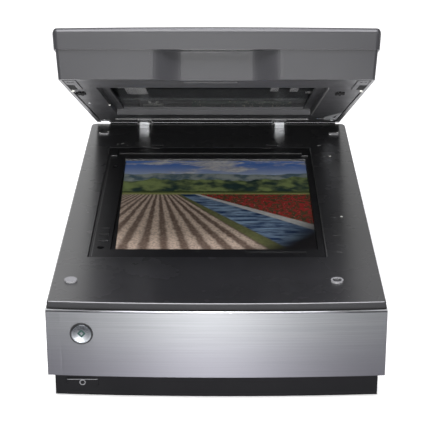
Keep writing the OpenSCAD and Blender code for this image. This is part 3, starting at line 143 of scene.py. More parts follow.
class Shader(Tree):
    """Builds one node material on a Principled shader."""

    def __init__(self, name, **sockets):
        self.material = bpy.data.materials.new(name)
        super().__init__(self.material, "ShaderNodeOutputMaterial")
        self.place = self.coordinates["Object"]
        self.bsdf = self.node("ShaderNodeBsdfPrincipled")
        self.join(self.bsdf.outputs[0], self.surface)
        for socket, value in sockets.items():
            self.bsdf.inputs[socket.replace("_", " ")].default_value = value

    def stretch(self, scale=(1, 1, 1), turn=(0, 0, 0), move=(0, 0, 0)):
        mapping = self.node("ShaderNodeMapping")
        self.join(self.place, mapping.inputs["Vector"])
        mapping.inputs["Scale"].default_value = scale
        mapping.inputs["Rotation"].default_value = turn
        mapping.inputs["Location"].default_value = move
        return mapping.outputs[0]

    def axis(self, name):
        split = self.node("ShaderNodeSeparateXYZ")
        self.join(self.place, split.inputs[0])
        return split.outputs[name]

    def noise(self, scale, detail=2.0, vector=None, roughness=0.5):
        made = self.node("ShaderNodeTexNoise")
        self.join(vector or self.place, made.inputs["Vector"])
        made.inputs["Scale"].default_value = scale
        made.inputs["Detail"].default_value = detail
        made.inputs["Roughness"].default_value = roughness
        return made.outputs["Fac"]

    def mix(self, share, a, b):
        made = self.node("ShaderNodeMix", data_type="RGBA")
        self.feed(made.inputs["Factor"], share)
        self.feed(made.inputs[6], a)
        self.feed(made.inputs[7], b)
        return made.outputs[2]

    def facing_up(self):
        """1 on faces that look up, 0 on upright ones."""
        normal = self.node("ShaderNodeSeparateXYZ")
        self.join(self.node("ShaderNodeNewGeometry").outputs["True Normal"], normal.inputs[0])
        return self.spread(normal.outputs["Z"], 0.3, 0.8)

    def colour(self, value):
        self.feed(self.bsdf.inputs["Base Color"], value)
        return self

    def rough(self, value):
        self.feed(self.bsdf.inputs["Roughness"], value)
        return self

    def bump(self, height, strength, distance):
        made = self.node("ShaderNodeBump")
        made.inputs["Strength"].default_value = strength
        made.inputs["Distance"].default_value = distance
        self.join(height, made.inputs["Height"])
        self.join(made.outputs["Normal"], self.bsdf.inputs["Normal"])
        return self


def rgba(r, g=None, b=None):
    """A colour given as the eye sees it, 0 to 255, turned into linear light."""
    values = (r, r if g is None else g, r if b is None else b)
    return tuple(
        (v / 255 / 12.92) if v <= 10 else ((v / 255 + 0.055) / 1.055) ** 2.4 for v in values
    ) + (1.0,)


MOTTLE = 0.06  # how far a moulded part's tone strays either way, as a share
GRAIN_DEPTH = 0.00003


def moulded(name, shade, rough, grain=1400, **sockets):
    """Moulded plastic: fine grain in the surface, slight mottling, and a little wear in its gloss."""
    s = Shader(name, **sockets)
    low = tuple(c * (1 - MOTTLE) for c in shade[:3]) + (1,)
    high = tuple(c * (1 + MOTTLE) for c in shade[:3]) + (1,)
    s.colour(s.mix(s.noise(60, 3), low, high))
    s.rough(s.spread(s.noise(25, 4), 0.3, 0.7, rough * 0.92, min(rough * 1.1, 1)))
    s.bump(s.noise(grain, 3), 0.25, GRAIN_DEPTH)
    return s.material


def metal(name, shade, rough):
    """Bare metal with a fine grain in its tone, gloss and surface."""
    s = Shader(name, Metallic=1.0)
    low = tuple(c * 0.86 for c in shade[:3]) + (1,)
    high = tuple(min(c * 1.1, 1) for c in shade[:3]) + (1,)
    fine = s.noise(900, 4, roughness=0.6)
    s.colour(s.mix(fine, low, high))
    s.rough(s.spread(fine, 0.3, 0.7, rough * 0.85, min(rough * 1.15, 1)))
    s.bump(fine, 0.2, 0.00002)
    return s.material


# ---------------------------------------------------------------- materials by slot


GUIDE_SHADOW_SHARE = 0.022  # width of the painted shadow of the film guide's wall at the sheet's foot, as a share of the film's width
FAR_POINT = (0.2, 0.72)  # where furrows and strips meet, in shares of the film's width and height
FIELD_TOP = 0.594  # where the ploughed ground ends, in shares of the film's height
MEADOW_TOP = 0.615  # the same for the meadow
FURROWS = 42  # how tightly the furrows lie
PRINT_GAMMA = 0.8


def above(s, v, edge, soft=0.003):
    """0 below a height and 1 above it."""
    return s.spread(s.math("SUBTRACT", v, edge), -soft, soft)


def skyline(s, scale, height, foot):
    """A rough line that varies only along the film's width."""
    wave = s.noise(scale, 3, s.stretch((1, 0, 0)))
    return s.math("ADD", s.math("MULTIPLY", wave, height), foot)


def picture_sky(s, v):
    """Deep blue above, pale at the skyline, with banked clouds lit from the left."""
    sky = s.mix(s.spread(v, 0.74, 0.98), rgba(214, 230, 250), rgba(58, 118, 224))
    flat = (1, 2.6, 1)
    cloud = s.noise(13, 6, s.stretch(flat), 0.6)
    beside = s.noise(13, 6, s.stretch(flat, move=(0.003, -0.004, 0)), 0.6)
    lit = s.spread(s.math("SUBTRACT", cloud, beside), -0.05, 0.06)
    puff = s.mix(lit, rgba(186, 188, 204), rgba(255, 252, 248))
    return s.mix(s.spread(cloud, 0.49, 0.61, 0, 0.95), sky, puff)


def picture_hills(s, v, scene):
    """Three ridges, each darker and greener than the one behind, and a pale meadow at their foot."""
    far = s.mix(s.spread(s.noise(70, 6), 0.36, 0.64), rgba(74, 102, 116), rgba(166, 178, 172))
    scene = s.mix(above(s, v, skyline(s, 9, 0.22, 0.73)), far, scene)
    middle = s.mix(s.spread(s.noise(56, 7), 0.38, 0.64), rgba(26, 50, 46), rgba(136, 156, 86))
    scene = s.mix(above(s, v, skyline(s, 17, 0.26, 0.64)), middle, scene)
    near = s.mix(s.noise(300, 5), rgba(18, 30, 20), rgba(78, 96, 46))
    scene = s.mix(above(s, v, skyline(s, 60, 0.06, 0.605)), near, scene)
    meadow = s.mix(s.noise(200, 3, s.stretch((1, 4, 1))), rgba(120, 134, 62), rgba(168, 168, 96))
    return s.mix(above(s, v, MEADOW_TOP), meadow, scene)


def picture_soil(s, v, fan, scene):
    """Ploughed ground, whose furrows run together towards the far point."""
    clods = s.noise(150, 6)
    warp = s.math("ADD", s.math("MULTIPLY", fan, FURROWS), s.math("MULTIPLY", clods, 2.4))
    furrow = s.spread(s.math("SINE", warp), -0.8, 0.8)
    soil = s.mix(furrow, rgba(92, 72, 60), rgba(214, 188, 166))
    soil = s.mix(s.spread(s.noise(420, 5), 0.42, 0.66, 0, 0.7), soil, rgba(136, 116, 102))
    return s.mix(above(s, v, FIELD_TOP), soil, scene)


def picture_strips(s, v, fan, scene):
    """A grassy bank, a canal with pale streaks, its stone edge, and a bed of red flowers behind it."""
    field = s.spread(v, FIELD_TOP + 0.006, FIELD_TOP)

    def strip(base, top, left, right):
        """Lays a wedge that runs to the far point, between two slopes."""
        sides = s.math("MULTIPLY", s.spread(fan, left, left + 0.03), s.spread(fan, right, right - 0.03))
        return s.mix(s.math("MULTIPLY", sides, field), base, top)

    bank = s.mix(s.noise(260, 4), rgba(50, 62, 34), rgba(122, 124, 72))
    scene = strip(scene, bank, 0.8, 0.98)
    ripple = s.noise(36, 4, s.stretch((1, 5, 1)), 0.6)
    water = s.mix(s.spread(ripple, 0.38, 0.66), rgba(20, 46, 92), rgba(132, 164, 196))
    scene = strip(scene, water, 0.94, 1.6)
    stone = s.mix(s.noise(240, 3), rgba(170, 170, 168), rgba(226, 226, 222))
    scene = strip(scene, stone, 1.56, 1.78)
    leaves = s.mix(s.noise(200, 3), rgba(34, 46, 26), rgba(84, 78, 44))
    bed = s.mix(s.spread(s.noise(330, 4), 0.44, 0.56), leaves, rgba(176, 30, 32))
    bed = s.mix(s.spread(s.noise(520, 2), 0.62, 0.7, 0, 0.8), bed, rgba(226, 120, 112))
    return s.mix(s.math("MULTIPLY", s.spread(fan, 1.76, 1.8), field), scene, bed)


def print_picture():
    """A generic country view: sky, hills, woods, a canal, ploughed ground and a flower bed."""
    s = Shader("film_print", Roughness=0.3, IOR=1.4)
    low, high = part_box("film_sheet")
    u = s.spread(s.axis("X"), low.x, high.x, smooth=False)
    v = s.spread(s.axis("Y"), low.y, high.y, smooth=False)
    far_u, far_v = FAR_POINT
    fan = s.math("DIVIDE", s.math("SUBTRACT", u, far_u), s.math("SUBTRACT", far_v, v))
    scene = picture_hills(s, v, picture_sky(s, v))
    scene = picture_strips(s, v, fan, picture_soil(s, v, fan, scene))
    # shade towards the lower right corner
    corner = s.spread(s.math("SUBTRACT", u, v), 0.52, 0.84)
    scene = s.mix(corner, scene, rgba(9, 8, 9))
    # painted shadow of the film guide's inner wall: a black band along the sheet's left side, widest at
    # the lower left
    guide_shadow = s.math("SUBTRACT", u, s.spread(v, 0, 1, GUIDE_SHADOW_SHARE, 0, False))
    scene = s.mix(s.spread(guide_shadow, 0, 0.003), rgba(10), scene)
    lift = s.node("ShaderNodeGamma")
    lift.inputs["Gamma"].default_value = PRINT_GAMMA
    s.join(scene, lift.inputs["Color"])
    s.colour(lift.outputs[0])
    s.bump(s.noise(600, 2), 0.05, 0.00001)
    return s.material


def clear_glass(name, tint, most=1.0):
    """A flat sheet: light goes straight through, and it mirrors more towards grazing, up to most."""
    s = Shader(name, Roughness=0.03, Specular_IOR_Level=1.0)
    s.colour(s.mix(s.noise(8, 2), (0.01, 0.012, 0.012, 1), (0.02, 0.024, 0.024, 1)))
    through = s.node("ShaderNodeBsdfTransparent")
    through.inputs["Color"].default_value = tint
    facing = s.node("ShaderNodeLayerWeight")
    facing.inputs["Blend"].default_value = 0.12
    both = s.node("ShaderNodeMixShader")
    s.join(s.math("MINIMUM", facing.outputs["Fresnel"], most), both.inputs[0])
    s.join(through.outputs[0], both.inputs[1])
    s.join(s.bsdf.outputs[0], both.inputs[2])
    s.join(both.outputs[0], s.surface)
    return s.material


PANEL_LOW, PANEL_HIGH = (corner.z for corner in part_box("front_panel"))
PANEL_HIGHLIGHT_BAND = (PANEL_HIGH - 0.0011, PANEL_HIGH - 0.0007)  # heights between which a painted highlight brightens its top edge
DECK_SHADE_FOOT = (PANEL_HIGH + 0.0045, PANEL_HIGH + 0.0005)  # heights between which painted shade turns the upper case near black above the panel
LIP_SHADE_HEIGHTS = (0.1032, 0.1022)  # heights between which painted shade turns the cover's rear lip near black and matt
LIP_SHADE_DEPTHS = (0.2335, 0.236)  # the same from the front backwards


def brushed_panel():
    """Anodised aluminium with fine brushing along the panel's width, with painted shade darkening its
    foot and a painted highlight along its top edge.
    """
    s = Shader("panel_silver", Metallic=1.0, Anisotropic=0.9, Anisotropic_Rotation=0.25)
    fine = s.noise(1, 5, s.stretch((9, 9, 1900)), 0.65)
    streak = s.noise(1, 4, s.stretch((14, 14, 620)), 0.6)
    base = s.mix(s.spread(fine, 0.3, 0.7), rgba(96, 97, 99), rgba(106, 107, 109))
    base = s.mix(s.spread(streak, 0.5, 0.72, 0, 0.12), base, rgba(119, 120, 122))
    # painted shade: the panel darkens towards its foot
    foot = s.spread(s.axis("Z"), PANEL_LOW, PANEL_HIGH)
    face = s.mix(foot, s.mix(0.75, base, rgba(80, 79, 85)), base)
    # painted highlight: a pale band along the panel's top edge
    edge = s.spread(s.axis("Z"), *PANEL_HIGHLIGHT_BAND)
    s.colour(s.mix(edge, face, rgba(196, 197, 200)))
    s.rough(s.spread(streak, 0.3, 0.7, 0.495, 0.515))
    s.bump(fine, 0.04, 0.00001)
    return s.material


def circuit_board():
    """Green board with tracks and pads in a darker and a brighter tone."""
    s = Shader("board_green", Roughness=0.4)
    brick = s.node("ShaderNodeTexBrick")
    s.join(s.stretch((260, 260, 260), turn=(0.4, 0.4, 0)), brick.inputs["Vector"])
    brick.inputs["Scale"].default_value = 1.0
    brick.inputs["Mortar Size"].default_value = 0.06
    board = s.mix(brick.outputs["Fac"], rgba(22, 58, 42), rgba(48, 92, 66))
    s.colour(s.mix(s.spread(s.noise(420, 2), 0.62, 0.68), board, rgba(196, 190, 160)))
    return s.material


def dished_button():
    """Satin metal of the start key, with painted light and shade in its dish: light at its foot, darker
    in its upper part.
    """
    s = Shader("button_silver", Metallic=1.0)
    low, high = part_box("start_button")
    # painted shade: the dish's tone falls from light at its foot to dark towards its top
    painted_dish_shade = s.spread(s.axis("Z"), low.z, high.z - 0.2 * (high.z - low.z))
    shade = s.mix(painted_dish_shade, rgba(134, 137, 140), rgba(52, 54, 57))
    s.colour(s.mix(s.spread(s.noise(700, 3), 0.3, 0.7, 0, 0.15), shade, rgba(150, 153, 156)))
    s.rough(s.spread(s.noise(500, 3), 0.3, 0.7, 0.36, 0.42))
    return s.material


def deck_plastic():
    """Glossy black top, with duller upright walls whose foot above the panel is painted near black and
    matt as painted shade.
    """
    s = Shader("case_upper", IOR=1.3, Coat_IOR=1.78, Coat_Roughness=0.29)
    top = s.facing_up()
    body = s.mix(s.noise(45, 4), rgba(29, 29, 31), rgba(35, 35, 37))
    # painted shade: the upright walls turn near black and matt towards the panel
    foot = s.spread(s.axis("Z"), *DECK_SHADE_FOOT)
    s.colour(s.mix(foot, body, rgba(6)))
    gloss = s.spread(s.noise(25, 4), 0.3, 0.7, 0.25, 0.29)
    dull = s.math("MAXIMUM", s.spread(s.noise(900, 2), 0.3, 0.7, 0.56, 0.66), foot)
    flat_part = s.math("MULTIPLY", gloss, top)
    upright_part = s.math("MULTIPLY", dull, s.math("SUBTRACT", 1.0, top))
    s.rough(s.math("ADD", flat_part, upright_part))
    s.feed(s.bsdf.inputs["Coat Weight"], top)
    return s.material


def cover_shell():
    """Satin grey of the cover's shell, with painted shade that turns the lip inside the hinge near black
    and matt.
    """
    s = Shader("lid_gloss", IOR=1.54)
    # painted shade on the lip that turns inside the hinge
    lip = s.math("MULTIPLY", s.spread(s.axis("Z"), *LIP_SHADE_HEIGHTS), s.spread(s.axis("Y"), *LIP_SHADE_DEPTHS))
    shade = s.mix(s.noise(60, 3), rgba(43, 43, 45), rgba(45, 45, 47))
    s.colour(s.mix(lip, shade, rgba(8)))
    s.rough(s.math("MAXIMUM", s.spread(s.noise(25, 4), 0.3, 0.7, 0.3, 0.33), lip))
    s.bump(s.noise(1400, 3), 0.25, GRAIN_DEPTH)
    return s.material


def hinge_steel():
    """Bright steel uprights whose tops are painted near black as painted shade."""
    s = Shader("hinge_steel", Metallic=1.0)
    top = s.facing_up()
    bright = s.mix(s.noise(900, 3), rgba(138, 139, 141), rgba(156, 157, 159))
    # painted shade: faces that look up turn near black
    s.colour(s.mix(top, bright, rgba(12)))
    s.rough(s.spread(s.noise(600, 3), 0.3, 0.7, 0.34, 0.42))
    return s.material


MATERIALS = {
    "case_upper": deck_plastic,
    "case_lower": lambda: moulded("case_lower", rgba(14, 14, 16), 0.6, Specular_IOR_Level=0.08),
    "panel_silver": brushed_panel,
    "bezel_black": lambda: moulded("bezel_black", rgba(19, 19, 21), 0.4, Specular_IOR_Level=0.3),
    "glass_clear": lambda: clear_glass("glass_clear", (0.86, 0.93, 0.92, 1)),
    "seal_black": lambda: moulded("seal_black", rgba(20), 0.8, Specular_IOR_Level=0.15),
    "white_plastic": lambda: moulded("white_plastic", rgba(214, 214, 208), 0.45),
    "guide_black": lambda: moulded("guide_black", rgba(20, 20, 22), 0.38, grain=1800),
    "film_print": print_picture,
    "foot_rubber": lambda: moulded("foot_rubber", rgba(42), 0.85),
    "pad_rubber": lambda: moulded("pad_rubber", rgba(128, 128, 130), 0.6),
    "steel_bright": lambda: metal("steel_bright", rgba(205, 206, 208), 0.32),
    "steel_zinc": lambda: metal("steel_zinc", rgba(170, 172, 174), 0.4),
    "inner_plastic": lambda: moulded("inner_plastic", rgba(74, 75, 78), 0.5),
    "motor_metal": lambda: metal("motor_metal", rgba(150, 152, 156), 0.38),
    "belt_rubber": lambda: moulded("belt_rubber", rgba(24), 0.7),
    "gear_nylon": lambda: moulded("gear_nylon", rgba(214, 211, 200), 0.45),
    "pinion_brass": lambda: metal("pinion_brass", rgba(200, 168, 96), 0.3),
    "bush_bronze": lambda: metal("bush_bronze", rgba(170, 130, 84), 0.45),
    "board_green": circuit_board,
    "port_black": lambda: moulded("port_black", rgba(24), 0.35),
    "port_steel": lambda: metal("port_steel", rgba(190, 190, 188), 0.3),
    "lens_black": lambda: moulded("lens_black", rgba(28), 0.5),
    "mirror_glass": lambda: metal("mirror_glass", rgba(225, 228, 230), 0.05),
    "light_acrylic": lambda: moulded("light_acrylic", rgba(226, 230, 230), 0.25),
    "button_silver": dished_button,
    "lid_gloss": cover_shell,
    "lid_inner_grey": lambda: moulded("lid_inner_grey", rgba(60, 60, 62), 0.4, IOR=1.34),
    "lever_grey": lambda: moulded("lever_grey", rgba(150, 151, 153), 0.45),
}


def dress_nodes():
    """Gives each CAD node its slot's material, and returns the materials by slot."""
    made = {}
    for row in frame["record"]["subparts"]:
        slot = row["material_slot"]
        if slot not in made:
            made[slot] = MATERIALS[slot]()
        shown = nodes[row["node"]]
        shown.data.materials.clear()
        shown.data.materials.append(made[slot])
    return made


materials = dress_nodes()
for held, finish in {
    "hinge_posts": hinge_steel(),
    "hinge_brackets": moulded("hinge_black", rgba(44), 0.5),
    "power_button": materials["case_lower"],
    "lamp_window": clear_glass("lamp_glass", (0.76, 0.76, 0.76, 1), most=0.3),
}.items():
    nodes[held].data.materials[0] = finish

# ---------------------------------------------------------------- pieces

# places and lengths of the pieces are in millimetres
SUNK = 0.1  # how deep a flat mark is set into its carrier
HINGE_Y, HINGE_Z = 237.0, 104.5
LIP_REACH = 4.36  # how far the cover's rear lip reaches from the hinge axis
SEAL_ROOM = 0.13  # clearance between the lip and the felt
SEAL_FRONT = 1.6  # how far the felt starts in front of the hinge axis
SEAL_LENGTH = 2.6
SEAL_STEPS = 6
RIDGE_TOP = 99.86
RIDGE_ENDS = (-129.5, 140.5)
POST_XS = (-88.0, 73.0)
POST_HALF = 5.9
HINGE_CUT = 9.5  # half the width of the notch that each upright stands in
KNUCKLE_FELT = ((238.4, 98.9), (239.8, 98.9), (239.8, 99.6), (238.4, 99.6))  # y and z


def mesh_piece(name, material, body, build):
    """Makes a piece from a bmesh that build() fills, in millimetres, and ties it to its body."""
    mesh = bpy.data.meshes.new(name)
    form = bmesh.new()
    build(form)
    bmesh.ops.recalc_face_normals(form, faces=form.faces)
    bmesh.ops.scale(form, vec=(MM, MM, MM), verts=form.verts)
    form.to_mesh(mesh)
    form.free()
    piece = bpy.data.objects.new(name, mesh)
    piece.data.materials.append(material)
    bpy.context.scene.collection.objects.link(piece)
    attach(piece, body)
    return piece


def prism(form, outline, low, high, place=Matrix()):
    """A closed prism over a flat outline, from height low to high, moved by place."""
    rings = [[form.verts.new(place @ Vector((x, y, z))) for x, y in outline] for z in (low, high)]
    form.faces.new(rings[0])
    form.faces.new(rings[1])
    count = len(outline)
    for i in range(count):
        j = (i + 1) % count
        form.faces.new((rings[0][i], rings[0][j], rings[1][j], rings[1][i]))


def hinge_seal(form):
    """Felt on the rear ridge, hollowed to the arc that the cover's lip turns in.

    Beside each upright, felt blocks lie below the cover's knuckles.
    """
    reach = LIP_REACH + SEAL_ROOM
    steps = (HINGE_Y - SEAL_FRONT + SEAL_LENGTH * i / SEAL_STEPS for i in range(SEAL_STEPS + 1))
    arc = [(y, HINGE_Z - math.sqrt(reach**2 - (y - HINGE_Y) ** 2)) for y in steps]
    outline = [(arc[0][0], RIDGE_TOP), *arc, (arc[-1][0], RIDGE_TOP)]
    stops = [RIDGE_ENDS[0]]
    for x in POST_XS:
        stops += [x - HINGE_CUT, x + HINGE_CUT]
    stops.append(RIDGE_ENDS[1])
    upright = Matrix(((0, 0, 1), (1, 0, 0), (0, 1, 0))).to_4x4()
    for x0, x1 in zip(stops[::2], stops[1::2]):
        prism(form, outline, x0, x1, upright)
    for x in POST_XS:
        for side in (-1, 1):
            inner, outer = sorted((x + side * POST_HALF, x + side * HINGE_CUT))
            prism(form, KNUCKLE_FELT, inner, outer, upright)


mesh_piece("hinge_seal", materials["seal_black"], "root", hinge_seal)

START_AT = Vector((-123.3, 0, 67.8))
START_R = 9.4
STEM_R = 6.4
BARREL = 2.8  # how deep the full width of the key goes
RIM_R = 0.7
RIM_STEPS = 4
DISH = 1.5
DISH_R = 8.3
DISH_STEPS = 8
DISH_EDGE = 0.1  # how far the dish's edge lies behind the rim
DIAMOND = (3.9, 1.9)  # half-diagonals of the start mark's outer and inner edge
DIAMOND_TALL = 1.1
MARK_PROUD = 0.32
POWER_AT = Vector((-124.4, 0, 14.6))
POWER_RING = (2.9, 2.0)
POWER_RING_DEPTHS = (-0.35, 0.02)  # its back and front, from the button's face
EDGE_DEPTHS = (-0.4, 0.05)  # the same for the painted highlight strip along the button's top
EDGE_DROPS = (0.75, 0.1)  # how far that edge's foot and top lie below the button's top
EDGE_INSETS = (0.4, 0.7)  # how far they lie inside its ends
FACE_ON = Matrix(((1, 0, 0), (0, 0, -1), (0, 1, 0))).to_4x4()  # turns a form's +Z towards the viewer


def front_of(node):
    """How far a node's front stands towards the viewer, which is -Y."""
    return -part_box(node)[0].y / MM


def lathe(form, profile, steps, place=Matrix()):
    """Turns a profile of (radius, height) pairs about Z. A radius of 0 closes it at a point."""
    rings = []
    for radius, z in profile:
        ring = ring_points(radius, steps) if radius else [(0, 0)]
        rings.append([form.verts.new(place @ Vector((x, y, z))) for x, y in ring])
    for low, high in zip(rings, rings[1:]):
        for i in range(steps):
            j = (i + 1) % steps
            corners = [low[i % len(low)], low[j % len(low)], high[j % len(high)], high[i % len(high)]]
            form.faces.new(dict.fromkeys(corners))


def smooth(piece, angle=35):
    """Smooth shading, with edges sharper than angle degrees kept."""
    for face in piece.data.polygons:
        face.use_smooth = True
    piece.data.set_sharp_from_angle(angle=math.radians(angle))


def frame_prism(form, outer, inner, low, high, place=Matrix()):
    """A flat ring between two outlines of as many points, from height low to high."""
    count = len(outer)
    rows = [
        [form.verts.new(place @ Vector((x, y, z))) for x, y in outline]
        for outline, z in ((outer, low), (outer, high), (inner, high), (inner, low))
    ]
    for a, b in zip(rows, rows[1:] + rows[:1]):
        for i in range(count):
            j = (i + 1) % count
            form.faces.new((a[i], a[j], b[j], b[i]))


def ring_points(radius, steps=32):
    turns = (math.tau * i / steps for i in range(steps))
    return [(radius * math.cos(turn), radius * math.sin(turn)) for turn in turns]


def shift(x, y, z):
    return Matrix.Translation((x, y, z))


def start_cap(form):
    """The start key: a barrel with a rounded rim and a dished face."""
    face = front_of("start_button")
    back = -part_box("start_button")[1].y / MM
    profile = [(0, back), (STEM_R, back), (STEM_R, face - BARREL), (START_R, face - BARREL)]
    for i in range(RIM_STEPS + 1):
        turn = math.radians(90 * i / RIM_STEPS)
        profile.append((START_R - RIM_R + RIM_R * math.cos(turn), face - RIM_R + RIM_R * math.sin(turn)))
    for i in range(1, DISH_STEPS + 1):
        share = 1 - i / DISH_STEPS
        profile.append((DISH_R * share, face - DISH_EDGE - DISH * (1 - share**2)))
    lathe(form, profile, 64, shift(START_AT.x, 0, START_AT.z) @ FACE_ON)


def start_mark(form):
    """A plain diamond outline on the start key."""
    floor = front_of("start_button") - DISH_EDGE - DISH
    outer, inner = ([(x, y * DIAMOND_TALL) for x, y in ring_points(half, 4)] for half in DIAMOND)
    place = shift(START_AT.x, 0, START_AT.z) @ FACE_ON
    frame_prism(form, outer, inner, floor - SUNK, floor + MARK_PROUD, place)


def power_mark(form):
    """A plain ring on the power button."""
    face = front_of("power_button")
    outer, inner = (ring_points(radius) for radius in POWER_RING)
    place = shift(POWER_AT.x, 0, POWER_AT.z) @ FACE_ON
    frame_prism(form, outer, inner, *(face + depth for depth in POWER_RING_DEPTHS), place)


def power_edge(form):
    """A lighter grey strip along the power button's top chamfer, a painted highlight."""
    low, high = (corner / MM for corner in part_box("power_button"))
    foot, top = (high.z - drop for drop in EDGE_DROPS)
    wide, narrow = EDGE_INSETS
    outline = [
        (low.x + wide, foot), (high.x - wide, foot), (high.x - narrow, top), (low.x + narrow, top)
    ]
    face = front_of("power_button")
    prism(form, outline, *(face + depth for depth in EDGE_DEPTHS), FACE_ON)


mark_teal = moulded("mark_teal", rgba(24, 52, 47), 0.6, Specular_IOR_Level=0.2)
mark_grey = moulded("mark_grey", rgba(92, 92, 94), 0.6)
# painted highlight: a lighter grey for the strip along the power button's top
painted_edge_highlight = moulded("painted_edge_highlight", rgba(96, 96, 98), 0.5)
start_key = mesh_piece("start_cap", materials["button_silver"], "start_key", start_cap)
smooth(start_key)
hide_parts("start_button")
mesh_piece("start_mark", mark_teal, "start_key", start_mark)
mesh_piece("power_mark", mark_grey, "power_key", power_mark)
mesh_piece("power_edge", painted_edge_highlight, "power_key", power_edge)

DECK_TOP = 99.0
GUIDE_TOP = 98.2
STUDS = ((127.0, 125.1), (127.6, -55.1))  # the white reference studs
STUD_R = 1.3
STUD_SUNK, STUD_RISE = 0.2, 0.3
TICKS = (  # x, y, length, width and turn of the small moulded ticks beside the window
    (-116.0, 164.5, 1.2, 1.2, 0), (-110.6, 166.0, 3.4, 1.4, 35), (-105.0, 160.5, 1.2, 1.6, 0),
    (116.5, 160.5, 4.4, 1.6, 35), (120.5, 123.0, 1.6, 1.0, 0), (120.5, -57.5, 1.6, 1.0, 0),
)
TICK_RISE = 0.15
BARS = (  # x, y, length and width of the pale registration bars
    (-71.5, 151.0, 9.5, 2.4), (56.0, 151.0, 9.5, 2.4), (119.5, -104.0, 7.0, 0.8),
    (121.0, -128.0, 6.0, 0.6), (119.6, -145.1, 5.5, 2.0),
)
BAR_RISE = 0.08
REST_GLINTS = ((-139.4, 199.4), (-130.0, 203.6), (140.6, 201.2))  # white discs at the ends of the oval lid rests, painted glints
REST_R = 1.3
REST_SUNK, REST_RISE = 0.3, 0.1
GUIDE_RIDGES = ((-121.6, -155.0, 128.0), (106.6, -155.0, 130.0))  # x and both ends of the fine ridges
RIDGE_W = 0.9
RIDGE_RISE = 0.3


def disc(form, x, y, radius, low, high, place=Matrix()):
    prism(form, [(x + dx, y + dy) for dx, dy in ring_points(radius, 24)], low, high, place)


def slab(form, x, y, length, width, low, high, turn=0, place=Matrix()):
    """A flat bar centred on x, y, with its corners cut."""
    c, s = math.cos(math.radians(turn)), math.sin(math.radians(turn))
    a, b = length / 2, width / 2
    cut = 0.2 * min(length, width)
    corners = [(a - cut, -b), (a, cut - b), (a, b - cut), (a - cut, b),
               (cut - a, b), (-a, b - cut), (-a, cut - b), (cut - a, -b)]
    prism(form, [(x + px * c - py * s, y + px * s + py * c) for px, py in corners], low, high, place)


def deck_studs(form):
    for x, y in STUDS:
        disc(form, x, y, STUD_R, DECK_TOP - STUD_SUNK, DECK_TOP + STUD_RISE)


def deck_ticks(form):
    for x, y, length, width, turn in TICKS:
        slab(form, x, y, length, width, DECK_TOP - SUNK, DECK_TOP + TICK_RISE, turn)


def deck_bars(form):
    for x, y, length, width in BARS:
        slab(form, x, y, length, width, DECK_TOP - SUNK, DECK_TOP + BAR_RISE)


# painted glints: small white discs at the ends of the oval lid rests
def rest_ends(form):
    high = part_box("lid_bumpers")[1].z / MM
    for x, y in REST_GLINTS:
        disc(form, x, y, REST_R, high - REST_SUNK, high + REST_RISE)


def guide_ridges(form):
    """Fine raised ridges along the long sides of the window."""
    for x, y0, y1 in GUIDE_RIDGES:
        base = GUIDE_TOP if x < 0 else DECK_TOP
        slab(form, x, (y0 + y1) / 2, RIDGE_W, y1 - y0, base - SUNK, base + RIDGE_RISE)


# the cover's own frame at rest: x across, y back from the hinge, z square to its underside
HINGE_REST = math.radians(23.7)
COVER_AT = shift(0, HINGE_Y, HINGE_Z) @ Matrix.Rotation(-HINGE_REST, 4, "X")
UNDERSIDE = -2.5  # height of its underside in that frame
ROOT = UNDERSIDE + 0.2  # details on the underside are set into the plate up to here
CORNER_STOPS = ((-137.2, 396.0), (137.2, 396.0))  # x and distance from the hinge, as in the next ones
STOP_W, STOP_LENGTH = 8.4, 40.0
STOP_RISE = 0.9
STARS = ((-134.0, 336.0), (120.6, 337.0))
STAR_LENGTH, STAR_W, STAR_RISE = 10.0, 2.2, 1.4
STAR_STRETCH = Matrix.Diagonal((1, 3, 1, 1))
STAR_TURNS = (20, 80, 140)
# painted glints: white discs at the tips of the corner stops
STOP_GLINTS = ((-139.6, 362.0), (139.6, 362.0))
TIP_R, TIP_RISE = 1.8, 1.6
STUD_AT = (-114.9, 212.0)
SMALL_STUD_R = 0.9
WINDOW_X = 106.4  # the ridge along the window's right edge
WINDOW_ENDS = (96.0, 384.0)
WINDOW_RIB_W, WINDOW_RIB_RISE = 1.0, 0.9
REAR_RIB = (37.0, -121.0, 106.0)  # its distance from the hinge, and both ends
REAR_RIB_W, REAR_RIB_RISE = 1.6, 1.0
GLASS_INNER = 7.7  # height of the window's inner face
BRACKET_PLATES = (  # x, distance from the hinge, width, length and thickness
    (-84.0, 254.0, 21.5, 64.0, 1.1), (-97.5, 286.0, 8.0, 3.0, 1.0),
    (58.6, 268.0, 8.4, 34.0, 1.1), (79.0, 268.0, 8.4, 34.0, 1.1),
)
BRACKET_RING_AT = (98.0, 238.0)
BRACKET_RING = (6.5, 4.2)  # outer and inner radius
BRACKET_RING_THICK = 1.0


def corner_stops(form):
    """Flat rubber stops at the front corners, and a dark star on each side of the window."""
    for x, s in CORNER_STOPS:
        slab(form, x, -s, STOP_W, STOP_LENGTH, UNDERSIDE - STOP_RISE, ROOT, 0, COVER_AT)
    for x, s in STARS:
        star = COVER_AT @ shift(x, -s, 0) @ STAR_STRETCH
        for turn in STAR_TURNS:
            slab(form, 0, 0, STAR_LENGTH, STAR_W, UNDERSIDE - STAR_RISE, ROOT, turn, star)


def stop_tips(form):
    """White tips of the stops, painted glints, and one small stud."""
    for x, s in STOP_GLINTS:
        disc(form, x, -s, TIP_R, UNDERSIDE - TIP_RISE, ROOT, COVER_AT)
    x, s = STUD_AT
    disc(form, x, -s, SMALL_STUD_R, UNDERSIDE - STOP_RISE, ROOT, COVER_AT)


